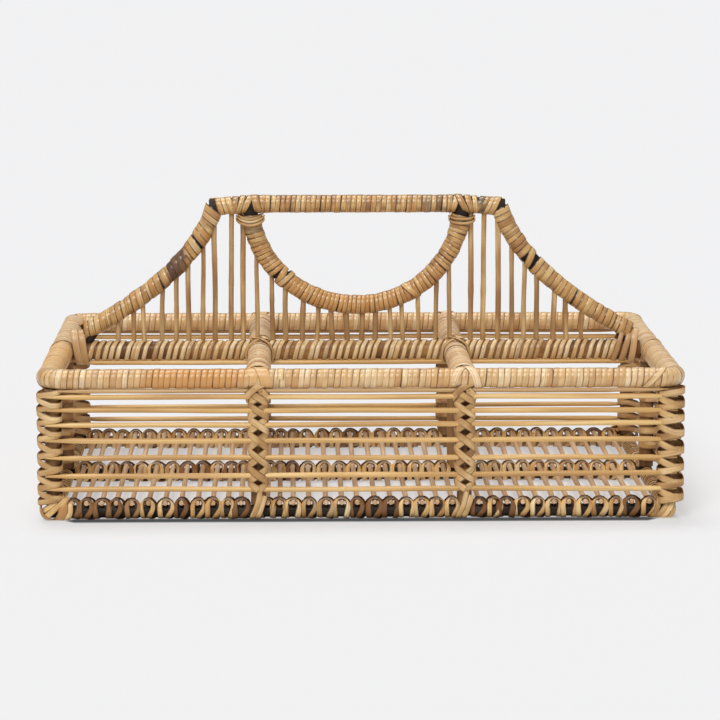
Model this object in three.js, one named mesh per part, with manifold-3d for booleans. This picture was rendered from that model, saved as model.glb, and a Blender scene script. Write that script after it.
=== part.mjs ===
// A rattan caddy for glasses: an open tray of six compartments, with a bow handle over its centre rail.
// Millimetres, with +X to the right, +Y to the back and +Z up. The origin is on the table, under the middle.
import * as THREE from 'three';
import Module from 'manifold-3d';

const wasm = await Module();
wasm.setup();

// Overall sizes, over the wraps and lashings
const length = 430;
const depth = 292;
const rimTop = 101.6;
const handleTop = 203;

// Bare diameters of the poles and of the thin round rods
const rimPole = 10.2;
const sidePole = 13;
const railPole = 13;
const basePole = 8.4;
const postPole = 10;
const bowPole = 9.4;
const holdPole = 10.4;
const reed = 3.5;
const spindle = 3.2;

// Cane strips: a close wrap round a pole, and the narrower lashing that ties the joints
const wrapThickness = 1.2;
const lashThickness = 1;
const lashWidth = 3.2;
const lashBite = 0.3;

// Fits between pieces, and how far the walls stay inside the rim's outer face
const clearance = 0.3;
const wallSetback = 0.5;

// The rim's round corners, and the places of the two dividers either side of the middle
const turnRadius = 10;
const dividerX = 68.4;

// Handle: the bar's corners, their rounding, and the half ellipse of the hand hold between bar and rail
const barHalf = 100.8;
const cornerRadius = 9;
const holdHalf = 74;
const holdRailGap = 18.8;
const slopeBendShares = { x: 0.138, z: 0.514 };
const slopeWrapShare = 0.92;
const gripGap = 0.9;

// Margins that set where the rods of each row begin and end
const reedTopGap = 3.55;
const reedBottomGap = 4.75;
const rodInset = 10.7;
const rodMargin = 12.9;
const spindleInset = 11.5;
const spindleMargin = 28.8;

// Counts
const reedCount = 7;
const outerRodCount = 12;
const middleRodCount = 13;
const leftSpindleCount = 10;
const middleSpindleCount = 12;
const rightSpindleCount = 9;
const gripLoops = 24;
const sideBaseLoops = 5;

// Facets
const poleSides = 8;
const rodSides = 6;
const bendSteps = 4;
const slopeSteps = 8;
const holdSteps = 16;

// Section of a strip in half widths and thicknesses: flat, or with the rounded back of split cane
const flatSection = [[-1, 0], [1, 0], [1, 1], [-1, 1]];
const ridgedSection = [[-1, 0], [1, 0], [0, 1]];

// Points nearer than this are one point where solids are joined
const mergeDistance = 0.0001;

// Outer radii of the wrapped poles
const wrapReach = clearance + wrapThickness;
const rimRadius = rimPole / 2 + wrapReach;
const sideRadius = sidePole / 2 + wrapReach;
const bowRadius = bowPole / 2 + wrapReach;
const holdRadius = holdPole / 2 + wrapReach;

// The rim is level on top, and the base poles stand on the lashings round them
const rimX = length / 2 - rimRadius;
const rimY = depth / 2 - rimRadius;
const rimZ = rimTop - rimRadius;
const sideX = length / 2 - sideRadius;
const sideZ = rimTop - sideRadius;
const railZ = rimTop - railPole / 2 - clearance - lashThickness;
const railTop = railZ + railPole / 2;
const baseHug = basePole / 2 + clearance;
const baseZ = baseHug + lashThickness;
const floorZ = baseZ + basePole / 2 + clearance + reed / 2;
const floorTop = floorZ + reed / 2;
const baseLashTop = floorTop + clearance + lashThickness;

// Posts stand inside the wall reeds, which the lashings reach round
const wallReach = postPole / 2 + clearance + reed / 2;
const postHug = postPole / 2 + clearance;
const lashInner = wallReach + reed / 2 - lashBite;
const lashReach = wallReach + reed / 2 + clearance + lashThickness;
const postX = length / 2 - wallSetback - lashReach;
const postY = depth / 2 - wallSetback - lashReach;
const postBottom = baseZ + basePole / 2 + clearance;
const reedTop = rimZ - rimRadius - reedTopGap - reed / 2;
const reedBottom = baseLashTop + reedBottomGap + reed / 2;
const reedPitch = (reedTop - reedBottom) / (reedCount - 1);
const reedHeights = spread(reedBottom, reedTop, reedCount);

// The rail's winding, the side rails between the rim's turned ends, and the dividers between rail and rim
const railWindingReach = (railPole / 2 + clearance + lashThickness) / Math.cos(Math.PI / 6);
const sideEndY = Math.min(rimY - turnRadius, postY - postPole / 2) - clearance;
const dividerEndY = rimY - rimRadius - clearance;
const dividerStartY = railWindingReach + clearance;

// Handle levels and the line of its slopes
const barZ = handleTop - bowRadius;
const footX = sideX - sideRadius - clearance - bowPole / 4;
const bend = new THREE.Vector2(
  barHalf + (footX - barHalf) * slopeBendShares.x,
  barZ - (barZ - railTop) * slopeBendShares.z
);
const footAngle = Math.atan2(bend.y - railTop, footX - bend.x);
const footZ = railTop + clearance + (bowPole / 2) * Math.cos(footAngle);
const holdDrop = barZ - holdRadius - holdRailGap - railTop;
const holdEndZ = barZ - bowPole / 2 - clearance;
const gripHalf = holdHalf - holdRadius - 2 * clearance;
const slopeWrapStart = holdHalf + holdRadius + 2 * clearance;

const finishes = {
  pole: { color: 0x46321f, roughness: 0.55, metalness: 0 },
  wrap: { color: 0xcaa16b, roughness: 0.4, metalness: 0 },
  reed: { color: 0xcc9e61, roughness: 0.5, metalness: 0 },
  lashing: { color: 0xb38759, roughness: 0.5, metalness: 0 },
};

// Evenly spaced places from one end to the other
function spread(from, to, count) {
  return Array.from({ length: count }, (_, i) => from + ((to - from) * i) / (count - 1));
}

// Adds a named mesh of its own material to a group
function addMesh(group, name, geometry, finish) {
  const mesh = new THREE.Mesh(geometry, new THREE.MeshStandardMaterial(finishes[finish]));
  mesh.name = name;
  group.add(mesh);
  return mesh;
}

// A straight round pole along one axis of the part. A level one has an edge on top, or on its side if turned.
function poleGeometry(diameter, span, axis, sides, turn) {
  const geometry = new THREE.CylinderGeometry(diameter / 2, diameter / 2, span, sides, 1, false, turn);
  if (axis === 'x') geometry.rotateZ(Math.PI / 2);
  if (axis === 'z') geometry.rotateX(Math.PI / 2);
  return geometry;
}

// A pole between two places on its own axis, with the other two coordinates given in x, y, z order
function poleBetween(diameter, from, to, axis, place, sides = poleSides, turn = 0) {
  const geometry = poleGeometry(diameter, to - from, axis, sides, turn);
  const centre = new THREE.Vector3(...place);
  centre[axis] = (from + to) / 2;
  return geometry.translate(centre.x, centre.y, centre.z);
}

// A round section, with a bore where an inner radius is given. The bore's flats keep that radius.
function roundShape(radius, innerRadius = 0, sides = poleSides) {
  const ring = (size) => Array.from({ length: sides }, (_, i) => {
    const angle = (2 * Math.PI * i) / sides;
    return new THREE.Vector2(size * Math.cos(angle), size * Math.sin(angle));
  });
  const shape = new THREE.Shape(ring(radius));
  if (innerRadius) shape.holes.push(new THREE.Path(ring(innerRadius / Math.cos(Math.PI / sides))));
  return shape;
}

// A path through set stations, each with a point and a direction of its own
class StationPath extends THREE.Curve {
  constructor(stations) {
    super();
    this.stations = stations;
  }

  stationAt(t) {
    return this.stations[Math.round(t * (this.stations.length - 1))];
  }

  getPoint(t, target = new THREE.Vector3()) {
    return target.copy(this.stationAt(t).point);
  }

  getTangent(t, target = new THREE.Vector3()) {
    return target.copy(this.stationAt(t).direction).normalize();
  }

  getUtoTmapping(u) {
    return u;
  }
}

function sweep(shape, stations) {
  const extrudePath = new StationPath(stations);
  return new THREE.ExtrudeGeometry(shape, { steps: stations.length - 1, extrudePath });
}

// A wrap drawn close round a pole of a given diameter
function sleeve(diameter, stations) {
  return sweep(roundShape(diameter / 2 + wrapReach, diameter / 2 + clearance), stations);
}

function straightStations(from, to) {
  const direction = to.clone().sub(from).normalize();
  return [{ point: from, direction }, { point: to, direction }];
}

// Joins overlapping solids into one
function join(geometries) {
  const solids = geometries.map((geometry) => {
    const merged = mergePoints(geometry);
    const mesh = new wasm.Mesh({ numProp: 3, vertProperties: merged.points, triVerts: merged.triangles });
    return new wasm.Manifold(mesh);
  });
  const whole = solids.reduce((sum, solid) => sum.add(solid)).getMesh();
  const geometry = new THREE.BufferGeometry();
  geometry.setAttribute('position', new THREE.BufferAttribute(whole.vertProperties, 3));
  geometry.setIndex(new THREE.BufferAttribute(whole.triVerts, 1));
  geometry.computeVertexNormals();
  return geometry;
}

// Positions and triangles of a geometry, with points that coincide held once
function mergePoints(geometry) {
  const position = geometry.getAttribute('position');
  const order = geometry.index ? Array.from(geometry.index.array) : [...Array(position.count).keys()];
  const known = new Map();
  const points = [];
  const triangles = order.map((i) => {
    const point = [position.getX(i), position.getY(i), position.getZ(i)];
    const key = point.map((value) => Math.round(value / mergeDistance)).join();
    if (!known.has(key)) {
      known.set(key, known.size);
      points.push(...point);
    }
    return known.get(key);
  });
  return { points: new Float32Array(points), triangles: new Uint32Array(triangles) };
}

// Corners of an even outline round a pole, from the left end of its flat top, clockwise
function evenCorners(sides, apothem) {
  const radius = apothem / Math.cos(Math.PI / sides);
  return Array.from({ length: sides }, (_, i) => {
    const angle = Math.PI / 2 + (Math.PI * (1 - 2 * i)) / sides;
    return [radius * Math.cos(angle), radius * Math.sin(angle)];
  });
}

// Moves the corners of a closed outline out, so that each side moves by the same distance
function offsetCorners(corners, distance) {
  const at = (i) => corners[(i + corners.length) % corners.length];
  const area = corners.reduce((sum, [u, v], i) => sum + u * at(i + 1)[1] - v * at(i + 1)[0], 0);
  const normal = (from, to) => {
    const along = new THREE.Vector2(to[0] - from[0], to[1] - from[1]).normalize();
    return new THREE.Vector2(along.y, -along.x).multiplyScalar(Math.sign(area));
  };
  return corners.map(([u, v], i) => {
    const before = normal(at(i - 1), at(i));
    const after = normal(at(i), at(i + 1));
    const shift = before.clone().add(after).multiplyScalar(distance / (1 + before.dot(after)));
    return [u + shift.x, v + shift.y];
  });
}

// One unbroken strip of cane. Its route lists corners of the outline that it hugs, each with a place along
// the axis, and place() turns (u, v, along) into a point of the part.
function strip({ name, corners, route, place, section, loopStations, width = lashWidth, thickness = lashThickness }) {
  const outer = offsetCorners(corners, thickness);
  const rows = route.map(([corner, along]) => section.map(([across, out]) => {
    const [u, v] = out ? outer[corner] : corners[corner];
    return place(u, v, along + (across * width) / 2);
  }));
  console.log(`${name}: least gap to itself ${leastGap(rows, loopStations).toFixed(2)} mm`);
  const sides = section.length;
  const index = [];
  for (let row = 0; row < rows.length - 1; row += 1) {
    for (let side = 0; side < sides; side += 1) {
      const near = row * sides + side;
      const next = row * sides + ((side + 1) % sides);
      index.push(near, next, next + sides, near, next + sides, near + sides);
    }
  }
  const last = (rows.length - 1) * sides;
  for (let side = 1; side < sides - 1; side += 1) {
    index.push(0, side + 1, side);
    index.push(last, last + side, last + side + 1);
  }
  const points = rows.flat();
  if (signedVolume(points, index) < 0) index.reverse();
  const geometry = new THREE.BufferGeometry().setFromPoints(points);
  geometry.setIndex(index);
  geometry.computeVertexNormals();
  return geometry;
}

function signedVolume(points, index) {
  let volume = 0;
  for (let i = 0; i < index.length; i += 3) {
    const [a, b, c] = [points[index[i]], points[index[i + 1]], points[index[i + 2]]];
    volume += a.dot(new THREE.Vector3().crossVectors(b, c)) / 6;
  }
  return volume;
}

// The least distance between the edges of one loop and those of the loops after it
function leastGap(rows, loopStations) {
  const steps = 4;
  const samples = [];
  for (let row = 0; row < rows.length - 1; row += 1) {
    for (let step = 0; step < steps; step += 1) {
      rows[row].forEach((point, i) => {
        samples.push({ at: row + step / steps, point: point.clone().lerp(rows[row + 1][i], step / steps) });
      });
    }
  }
  let least = Infinity;
  samples.forEach((first, i) => {
    for (const second of samples.slice(i)) {
      const apart = second.at - first.at;
      if (apart > loopStations * 1.5) break;
      if (apart > loopStations / 2) least = Math.min(least, first.point.distanceTo(second.point));
    }
  });
  return least;
}

// A strip's route round an even outline: it crosses the middle of the flat top at each of the given places
function woundRoute(sides, places) {
  const pitchAfter = (i) => (i < places.length - 1 ? places[i + 1] - places[i] : pitchAfter(i - 1));
  const route = places.flatMap((place, i) => Array.from({ length: sides }, (_, corner) => [
    corner,
    place + (pitchAfter(i) * (2 * corner - 1)) / (2 * sides),
  ]));
  return route.slice(0, route.length - sides + 2);
}

// The outline that a base lashing hugs: over the floor rods, and round the pole under them
const tieShare = 1.02;

function tieCorners(top) {
  const side = tieShare * baseHug;
  return [[-side, top], [0, top], [side, top], [side, -baseHug], [-side, -baseHug]];
}

// A base lashing crosses over each rod and goes once round the pole before the next
function tieRoute(rods) {
  const [frontTop, middleTop, backTop, backFoot, frontFoot] = tieCorners(0).keys();
  const legOffset = reed / 2 + clearance + lashWidth / 2;
  const route = [[middleTop, rods[0]]];
  rods.slice(1).forEach((next, i) => {
    const leave = rods[i] + legOffset;
    const arrive = next - legOffset;
    route.push([backTop, leave], [backFoot, leave], [frontFoot, arrive], [frontTop, arrive]);
  });
  route.push([middleTop, rods.at(-1)]);
  return route;
}

function tieStrip(name, rods, y, innerTop, section) {
  return strip({
    name,
    section,
    corners: tieCorners(innerTop - baseZ),
    route: tieRoute(rods),
    place: (u, v, along) => new THREE.Vector3(along, y + u, baseZ + v),
    loopStations: 4,
  });
}

// Floor rods: a close row in each bay, over the three long base poles and as far out as their lashings
const rodEndY = postY + tieShare * baseHug + lashThickness;
const floorBays = {
  left: spread(-(postX - rodMargin), -(dividerX + rodInset), outerRodCount),
  middle: spread(-1, 1, middleRodCount).map((share) => share * (dividerX - postPole / 2 - clearance - reed / 2)),
  right: spread(dividerX + rodInset, postX - rodMargin, outerRodCount),
};

function floorBay(name, rods) {
  const pieces = rods.map((x) => poleBetween(reed, -rodEndY, rodEndY, 'y', [x, 0, floorZ], rodSides));
  pieces.push(tieStrip(name, rods, 0, floorTop - lashBite, ridgedSection));
  return join(pieces);
}

// Crossed lashing down a post: two strips that climb it as mirrored spirals and cross on each wall reed
const crossFrontShare = 0.9;
const crossClimbShares = [-0.32, 0.32, 0.36, 0.64];

function crossStrip(name, strand, place) {
  const mirror = strand === 'first' ? 1 : -1;
  const front = mirror * crossFrontShare * postHug;
  const face = lashInner + (strand === 'first' ? 0 : lashThickness / 2);
  const behind = postHug + (strand === 'first' ? 0 : lashThickness + clearance);
  const corners = [[-front, face], [front, face], [mirror * behind, -behind], [-mirror * behind, -behind]];
  const climb = reedHeights.flatMap((z) => crossClimbShares.map((share, corner) => [corner, z + share * reedPitch]));
  return strip({
    name,
    place,
    corners,
    section: ridgedSection,
    route: climb.slice(0, climb.length - 2),
    loopStations: crossClimbShares.length,
  });
}

// Corner lashing: one strip that ties the ends of the front or back reeds and the side reeds to the corner post
function cornerStrip(name, place) {
  const reedFace = wallReach + reed / 2;
  const outerFace = reedFace + clearance;
  const corners = [
    [-postHug, outerFace],
    [lashInner - reed / 2, outerFace],
    [lashInner, outerFace - reed / 2],
    [lashInner, -postHug],
    [-postHug, -postHug],
  ];
  const climbShares = [-0.4, 0, 0.05, 0.34, 0.5];
  const climb = reedHeights.flatMap((z) => climbShares.map((share, corner) => [corner, z + share * reedPitch]));
  return strip({
    name,
    place,
    corners,
    section: ridgedSection,
    route: climb.slice(0, climb.length - 1),
    loopStations: climbShares.length,
  });
}

// Half lengths of the wall reeds: the long ones end at the corner posts, and the short ones cover their ends
const longReedHalf = postX + postPole / 2 - clearance;
const sideReedHalf = postY + wallReach + reed / 2;

function wallReed(half, axis, place) {
  return poleBetween(reed, -half, half, axis, place, rodSides, Math.PI / 2);
}

// The front wall: seven long reeds, tied to its two middle posts. The back wall is the same, turned round.
function longWall() {
  const y = -(postY + wallReach);
  const pieces = reedHeights.map((z) => wallReed(longReedHalf, 'x', [0, y, z]));
  for (const post of [-dividerX, dividerX]) {
    const place = (u, v, along) => new THREE.Vector3(post + u, -postY - v, along);
    pieces.push(crossStrip('middle post lashing', 'first', place));
    pieces.push(crossStrip('middle post lashing across it', 'second', place));
  }
  return join(pieces);
}

// The left wall: seven reeds across the side, its middle post's lashing and both corner lashings
function sideWall() {
  const x = -(postX + wallReach);
  const pieces = reedHeights.map((z) => wallReed(sideReedHalf, 'y', [x, 0, z]));
  pieces.push(crossStrip('side post lashing', 'first', (u, v, along) => new THREE.Vector3(-postX - v, u, along)));
  for (const end of [-1, 1]) {
    const place = (u, v, along) => new THREE.Vector3(-postX - u, end * (postY + v), along);
    pieces.push(cornerStrip('corner post', place));
  }
  return join(pieces);
}

// Each long side: wrapped rim with its turned ends, base pole, posts, wall and base lashings
function rimStations() {
  const straightEnd = rimX - turnRadius;
  const half = [];
  for (let step = 0; step <= bendSteps; step += 1) {
    const angle = (Math.PI / 2) * (step / bendSteps);
    half.push({
      point: new THREE.Vector3(
        straightEnd + turnRadius * Math.sin(angle), -rimY + turnRadius * (1 - Math.cos(angle)), rimZ
      ),
      direction: new THREE.Vector3(Math.cos(angle), Math.sin(angle), 0),
    });
  }
  half.push({
    point: new THREE.Vector3(rimX, -(sideEndY + clearance), rimZ),
    direction: new THREE.Vector3(0, 1, 0),
  });
  return mirrored(half.filter(({ point }, i) => i === 0 || point.distanceTo(half[i - 1].point) > clearance));
}

// Puts a mirror image of half a path before it, both about the plane X = 0
function mirrored(half) {
  const before = half.map(({ point, direction }) => ({
    point: new THREE.Vector3(-point.x, point.y, point.z),
    direction: new THREE.Vector3(direction.x, -direction.y, -direction.z),
  }));
  return [...before.reverse(), ...half];
}

function longSide(name, turn) {
  const group = new THREE.Group();
  group.rotation.z = turn;
  const ends = turn ? ['right', 'left'] : ['left', 'right'];
  const stations = rimStations();
  addMesh(group, `rim_${name}`, sweep(roundShape(rimPole / 2), stations), 'pole');
  addMesh(group, `rim_${name}_wrap`, sleeve(rimPole, stations), 'wrap');
  const baseHalf = postX + postPole / 2;
  addMesh(group, `base_${name}`, poleBetween(basePole, -baseHalf, baseHalf, 'x', [0, -postY, baseZ]), 'pole');
  addMesh(group, `wall_${name}`, longWall(), 'reed');
  const lashed = turn ? ['right', 'middle', 'left'] : ['left', 'middle', 'right'];
  Object.values(floorBays).forEach((rods, i) => {
    const title = `base_lashing_${name}_${lashed[i]}`;
    addMesh(group, title, tieStrip(title, rods, -postY, floorTop + clearance, flatSection), 'lashing');
  });
  ends.forEach((end, i) => {
    const side = i ? 1 : -1;
    const cornerTop = rimZ - rimRadius - clearance;
    const middleTop = sideZ - sideRadius - clearance;
    const corner = poleBetween(postPole, postBottom, cornerTop, 'z', [side * postX, -postY, 0]);
    const middle = poleBetween(postPole, postBottom, middleTop, 'z', [side * dividerX, -postY, 0]);
    addMesh(group, `post_${name}_${end}_corner`, corner, 'pole');
    addMesh(group, `post_${name}_${end}_middle`, middle, 'pole');
  });
  return group;
}

// Each short side: wrapped side rail, base pole with its two lashings, middle post and wall
function shortSide(name, turn) {
  const group = new THREE.Group();
  group.rotation.z = turn;
  const ends = turn ? ['back', 'front'] : ['front', 'back'];
  const railEnds = [-sideEndY, sideEndY].map((y) => new THREE.Vector3(-sideX, y, sideZ));
  const stations = straightStations(...railEnds);
  addMesh(group, `rim_${name}`, sweep(roundShape(sidePole / 2), stations), 'pole');
  addMesh(group, `rim_${name}_wrap`, sleeve(sidePole, stations), 'wrap');
  const baseHalf = postY - basePole / 2 - clearance;
  addMesh(group, `base_${name}`, poleBetween(basePole, -baseHalf, baseHalf, 'y', [-postX, 0, baseZ]), 'pole');
  addMesh(group, `wall_${name}`, sideWall(), 'reed');
  const postTop = sideZ - sideRadius - clearance;
  addMesh(group, `post_${name}`, poleBetween(postPole, postBottom, postTop, 'z', [-postX, 0, 0]), 'pole');
  const windingStart = postPole / 2 + clearance + lashWidth / 2;
  const windingEnd = postY - postPole / 2 - clearance - lashWidth / 2;
  const pitch = (windingEnd - windingStart) / (sideBaseLoops + 1 / 6);
  const firstCrossing = windingStart + pitch / 12;
  ends.forEach((end, i) => {
    const side = i ? 1 : -1;
    const title = `base_lashing_${name}_${end}`;
    const winding = strip({
      name: title,
      section: flatSection,
      corners: evenCorners(6, baseHug),
      route: woundRoute(6, spread(firstCrossing, firstCrossing + pitch * sideBaseLoops, sideBaseLoops + 1)),
      place: (u, v, along) => new THREE.Vector3(-postX + u, side * along, baseZ + v),
      loopStations: 6,
    });
    addMesh(group, title, winding, 'lashing');
  });
  return group;
}

// The middle: centre rail, centre base pole and two centre posts, and the wrapped dividers either side of the rail
function middleFrame() {
  const group = new THREE.Group();
  const railHalf = sideX - sideRadius - clearance;
  const baseHalf = postX - basePole / 2 - clearance;
  const postTop = railZ - railPole / 2 - 2 * clearance - lashThickness;
  addMesh(group, 'centre_rail', poleBetween(railPole, -railHalf, railHalf, 'x', [0, 0, railZ]), 'pole');
  addMesh(group, 'base_centre', poleBetween(basePole, -baseHalf, baseHalf, 'x', [0, 0, baseZ]), 'pole');
  for (const [end, side] of [['left', -1], ['right', 1]]) {
    const x = side * dividerX;
    addMesh(group, `post_centre_${end}`, poleBetween(postPole, postBottom, postTop, 'z', [x, 0, 0]), 'pole');
    for (const [half, way] of [['front', -1], ['back', 1]]) {
      const stations = straightStations(
        new THREE.Vector3(x, way * dividerStartY, sideZ), new THREE.Vector3(x, way * dividerEndY, sideZ)
      );
      addMesh(group, `divider_${end}_${half}`, sweep(roundShape(sidePole / 2), stations), 'pole');
      addMesh(group, `divider_${end}_${half}_wrap`, sleeve(sidePole, stations), 'wrap');
    }
  }
  for (const [name, rods] of Object.entries(floorBays)) {
    addMesh(group, `floor_${name}`, floorBay(`floor ${name}`, rods), 'reed');
  }
  return group;
}

// Half of the bow: from a place on the bar, round the corner and a share of the way down the slope
function bowHalf(startX, endShare = 1) {
  const corner = new THREE.Vector2(barHalf, barZ);
  const down = bend.clone().sub(corner).normalize();
  const turn = Math.acos(down.x);
  const tangentLength = cornerRadius * Math.tan(turn / 2);
  const slopeStart = corner.clone().addScaledVector(down, tangentLength);
  const slope = new THREE.QuadraticBezierCurve(slopeStart, bend, new THREE.Vector2(footX, footZ));
  const station = (x, z, across, up) => ({
    point: new THREE.Vector3(x, 0, z),
    direction: new THREE.Vector3(across, 0, up),
  });
  const stations = startX > 0 ? [station(startX, barZ, 1, 0)] : [];
  for (let step = 0; step <= bendSteps; step += 1) {
    const angle = (turn * step) / bendSteps;
    const x = barHalf - tangentLength + cornerRadius * Math.sin(angle);
    const z = barZ - cornerRadius * (1 - Math.cos(angle));
    stations.push(station(x, z, Math.cos(angle), -Math.sin(angle)));
  }
  for (let step = 1; step <= slopeSteps; step += 1) {
    const t = (endShare * step) / slopeSteps;
    const point = slope.getPoint(t);
    const tangent = slope.getTangent(t);
    stations.push(station(point.x, point.y, tangent.x, tangent.y));
  }
  return stations;
}

// The hand hold: half an ellipse, with its ends cut square to the bar above them
function holdStations() {
  const startAngle = Math.asin((barZ - holdEndZ) / holdDrop);
  return spread(startAngle, Math.PI - startAngle, holdSteps + 1).map((angle, i) => {
    const end = i === 0 || i === holdSteps;
    return {
      point: new THREE.Vector3(-holdHalf * Math.cos(angle), 0, barZ - holdDrop * Math.sin(angle)),
      direction: new THREE.Vector3(
        end ? 0 : holdHalf * Math.sin(angle), 0, end ? Math.sign(i - 1) : -holdDrop * Math.cos(angle)
      ),
    };
  });
}

// Mirrors a path's points across the plane X = 0, keeping its order
function flipped(stations) {
  return stations.map(({ point, direction }) => ({
    point: new THREE.Vector3(-point.x, point.y, point.z),
    direction: new THREE.Vector3(-direction.x, direction.y, direction.z),
  }));
}

function handle() {
  const group = new THREE.Group();
  const wrapped = bowHalf(slopeWrapStart, slopeWrapShare);
  addMesh(group, 'handle_bow', sweep(roundShape(bowPole / 2), mirrored(bowHalf(0))), 'pole');
  addMesh(group, 'handle_wrap_left', sleeve(bowPole, flipped(wrapped)), 'wrap');
  addMesh(group, 'handle_wrap_right', sleeve(bowPole, wrapped), 'wrap');
  addMesh(group, 'hand_hold', sweep(roundShape(holdPole / 2), holdStations()), 'pole');
  addMesh(group, 'hand_hold_wrap', sleeve(holdPole, holdStations()), 'wrap');
  const sides = 8;
  const pitch = (2 * gripHalf + gripGap) / (gripLoops + 1 + 1 / sides);
  const width = pitch - gripGap;
  const crossingHalf = (pitch * gripLoops) / 2;
  const grip = strip({
    width,
    name: 'handle_grip',
    section: ridgedSection,
    thickness: wrapThickness,
    corners: evenCorners(sides, bowPole / 2 + clearance),
    route: woundRoute(sides, spread(-crossingHalf, crossingHalf, gripLoops + 1)),
    place: (u, v, along) => new THREE.Vector3(along, u, barZ + v),
    loopStations: sides,
  });
  addMesh(group, 'handle_grip', grip, 'wrap');
  return group;
}

// The lowest point of the handle over a place on the rail
function handleUnderside(x) {
  const wrapped = bowHalf(slopeWrapStart, slopeWrapShare);
  const runs = [[mirrored(bowHalf(0)), bowRadius], [wrapped, bowRadius], [holdStations(), holdRadius]];
  runs.push([flipped(wrapped), bowRadius]);
  const steps = 12;
  let lowest = Infinity;
  for (const [stations, radius] of runs) {
    for (let i = 0; i < (stations.length - 1) * steps; i += 1) {
      const from = stations[Math.floor(i / steps)].point;
      const to = stations[Math.floor(i / steps) + 1].point;
      const point = from.clone().lerp(to, (i % steps) / steps);
      const reach = radius ** 2 - (x - point.x) ** 2;
      if (reach > 0) lowest = Math.min(lowest, point.z - Math.sqrt(reach));
    }
  }
  return lowest;
}

// A row of spindles between rail and handle, held at the foot by one strip wound round the rail
function spindleBay(name, places) {
  const foot = railTop + clearance;
  const pieces = places.map((x) => {
    const top = Math.min(...[-1, 0, 1].map((side) => handleUnderside(x + (side * spindle) / 2))) - clearance;
    return poleBetween(spindle, foot, top, 'z', [x, 0, 0], rodSides);
  });
  pieces.push(strip({
    name,
    section: ridgedSection,
    corners: evenCorners(6, railPole / 2 + clearance),
    route: woundRoute(6, places),
    place: (u, v, along) => new THREE.Vector3(along, u, railZ + v),
    loopStations: 6,
  }));
  return join(pieces);
}

function spindles() {
  const group = new THREE.Group();
  const first = dividerX + spindleInset;
  const last = footX - spindleMargin;
  const pitch = (last - first) / (leftSpindleCount - 1);
  const outward = (count) => Array.from({ length: count + 1 }, (_, i) => (i ? first + pitch * (i - 1) : dividerX));
  const middleHalf = dividerX - spindleInset;
  const rows = {
    left: outward(leftSpindleCount).map((x) => -x).reverse(),
    middle: spread(-middleHalf, middleHalf, middleSpindleCount),
    right: outward(rightSpindleCount),
  };
  for (const [name, places] of Object.entries(rows)) {
    addMesh(group, `spindles_${name}`, spindleBay(`spindles ${name}`, places), 'reed');
  }
  return group;
}

const caddy = new THREE.Group();
caddy.add(
  longSide('front', 0),
  longSide('back', Math.PI),
  shortSide('left', 0),
  shortSide('right', Math.PI),
  middleFrame(),
  handle(),
  spindles()
);

export default caddy;
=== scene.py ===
import bpy
import math
import random
from mathutils import Matrix, Vector, noise


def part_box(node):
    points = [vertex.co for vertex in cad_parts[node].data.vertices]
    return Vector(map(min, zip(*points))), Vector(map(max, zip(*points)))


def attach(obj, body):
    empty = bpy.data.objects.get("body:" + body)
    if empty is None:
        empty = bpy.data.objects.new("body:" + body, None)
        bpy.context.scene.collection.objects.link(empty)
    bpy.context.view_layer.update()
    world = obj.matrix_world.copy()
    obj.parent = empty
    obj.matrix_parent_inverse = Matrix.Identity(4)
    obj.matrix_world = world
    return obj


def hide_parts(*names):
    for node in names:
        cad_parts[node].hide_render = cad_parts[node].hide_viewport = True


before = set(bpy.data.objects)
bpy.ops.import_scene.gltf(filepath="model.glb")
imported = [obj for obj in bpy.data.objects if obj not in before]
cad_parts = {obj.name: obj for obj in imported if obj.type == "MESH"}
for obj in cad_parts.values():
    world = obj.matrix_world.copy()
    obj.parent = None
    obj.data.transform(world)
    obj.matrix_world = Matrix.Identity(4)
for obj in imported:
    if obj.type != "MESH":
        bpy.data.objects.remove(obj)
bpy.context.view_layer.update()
mm = 0.001
xAxis, yAxis, up = Vector((1, 0, 0)), Vector((0, 1, 0)), Vector((0, 0, 1))
toFront = -yAxis
longSides = (("front", -1), ("back", 1))
shortSides = (("left", -1), ("right", 1))


def nodeBox(node):
    low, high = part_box(node)
    return low / mm, high / mm


def middle(node):
    low, high = nodeBox(node)
    return (low + high) / 2


def halfSize(node):
    low, high = nodeBox(node)
    return (high - low) / 2


# places of the caddy in millimetres, read from the frame. A name that ends in R is a radius
rimLow, rimHigh = nodeBox("rim_front_wrap")
rimR = (rimHigh.z - rimLow.z) / 2
rimX, rimY, rimZ = rimHigh.x - rimR, -rimLow.y - rimR, rimHigh.z - rimR
sideR, sideEndY = halfSize("rim_left_wrap").x, halfSize("rim_left_wrap").y
sideX, sideZ = -middle("rim_left_wrap").x, middle("rim_left_wrap").z
dividerX = middle("divider_right_front").x
dividerFar, dividerNear = (-corner.y for corner in nodeBox("divider_right_front"))
railZ, railR, railHalf = middle("centre_rail").z, halfSize("centre_rail").z, halfSize("centre_rail").x
postX, postY = middle("post_front_right_corner").x, -middle("post_front_right_corner").y
postR = halfSize("post_front_right_corner").x
baseZ, baseR = middle("base_front").z, halfSize("base_front").z
barZ = nodeBox("handle_bow")[1].z - 4.7  # less the bow's own radius
footX = halfSize("handle_bow").x - 2.3
turnRadius = 10  # of the rim's round corners
wallReach = 7.05  # from a post's middle to the reeds outside it
reedHeights = [83.1, 74.0, 64.8, 54.1, 42.4, 30.9, 21.3]
wallX, wallY = postX + wallReach, postY + wallReach
rodR = 1.75
rodRise = 2.05  # from the top of a base pole to the middle of a floor rod
rodZ = baseZ + baseR + rodRise
floorTop = rodZ + rodR
print("places read from the frame")


def deselectAll():
    bpy.ops.object.select_all(action="DESELECT")


def pickOnly(piece):
    deselectAll()
    piece.select_set(True)
    bpy.context.view_layer.objects.active = piece


def applyAll(piece):
    pickOnly(piece)
    for modifier in list(piece.modifiers):
        bpy.ops.object.modifier_apply(modifier=modifier.name)


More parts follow.
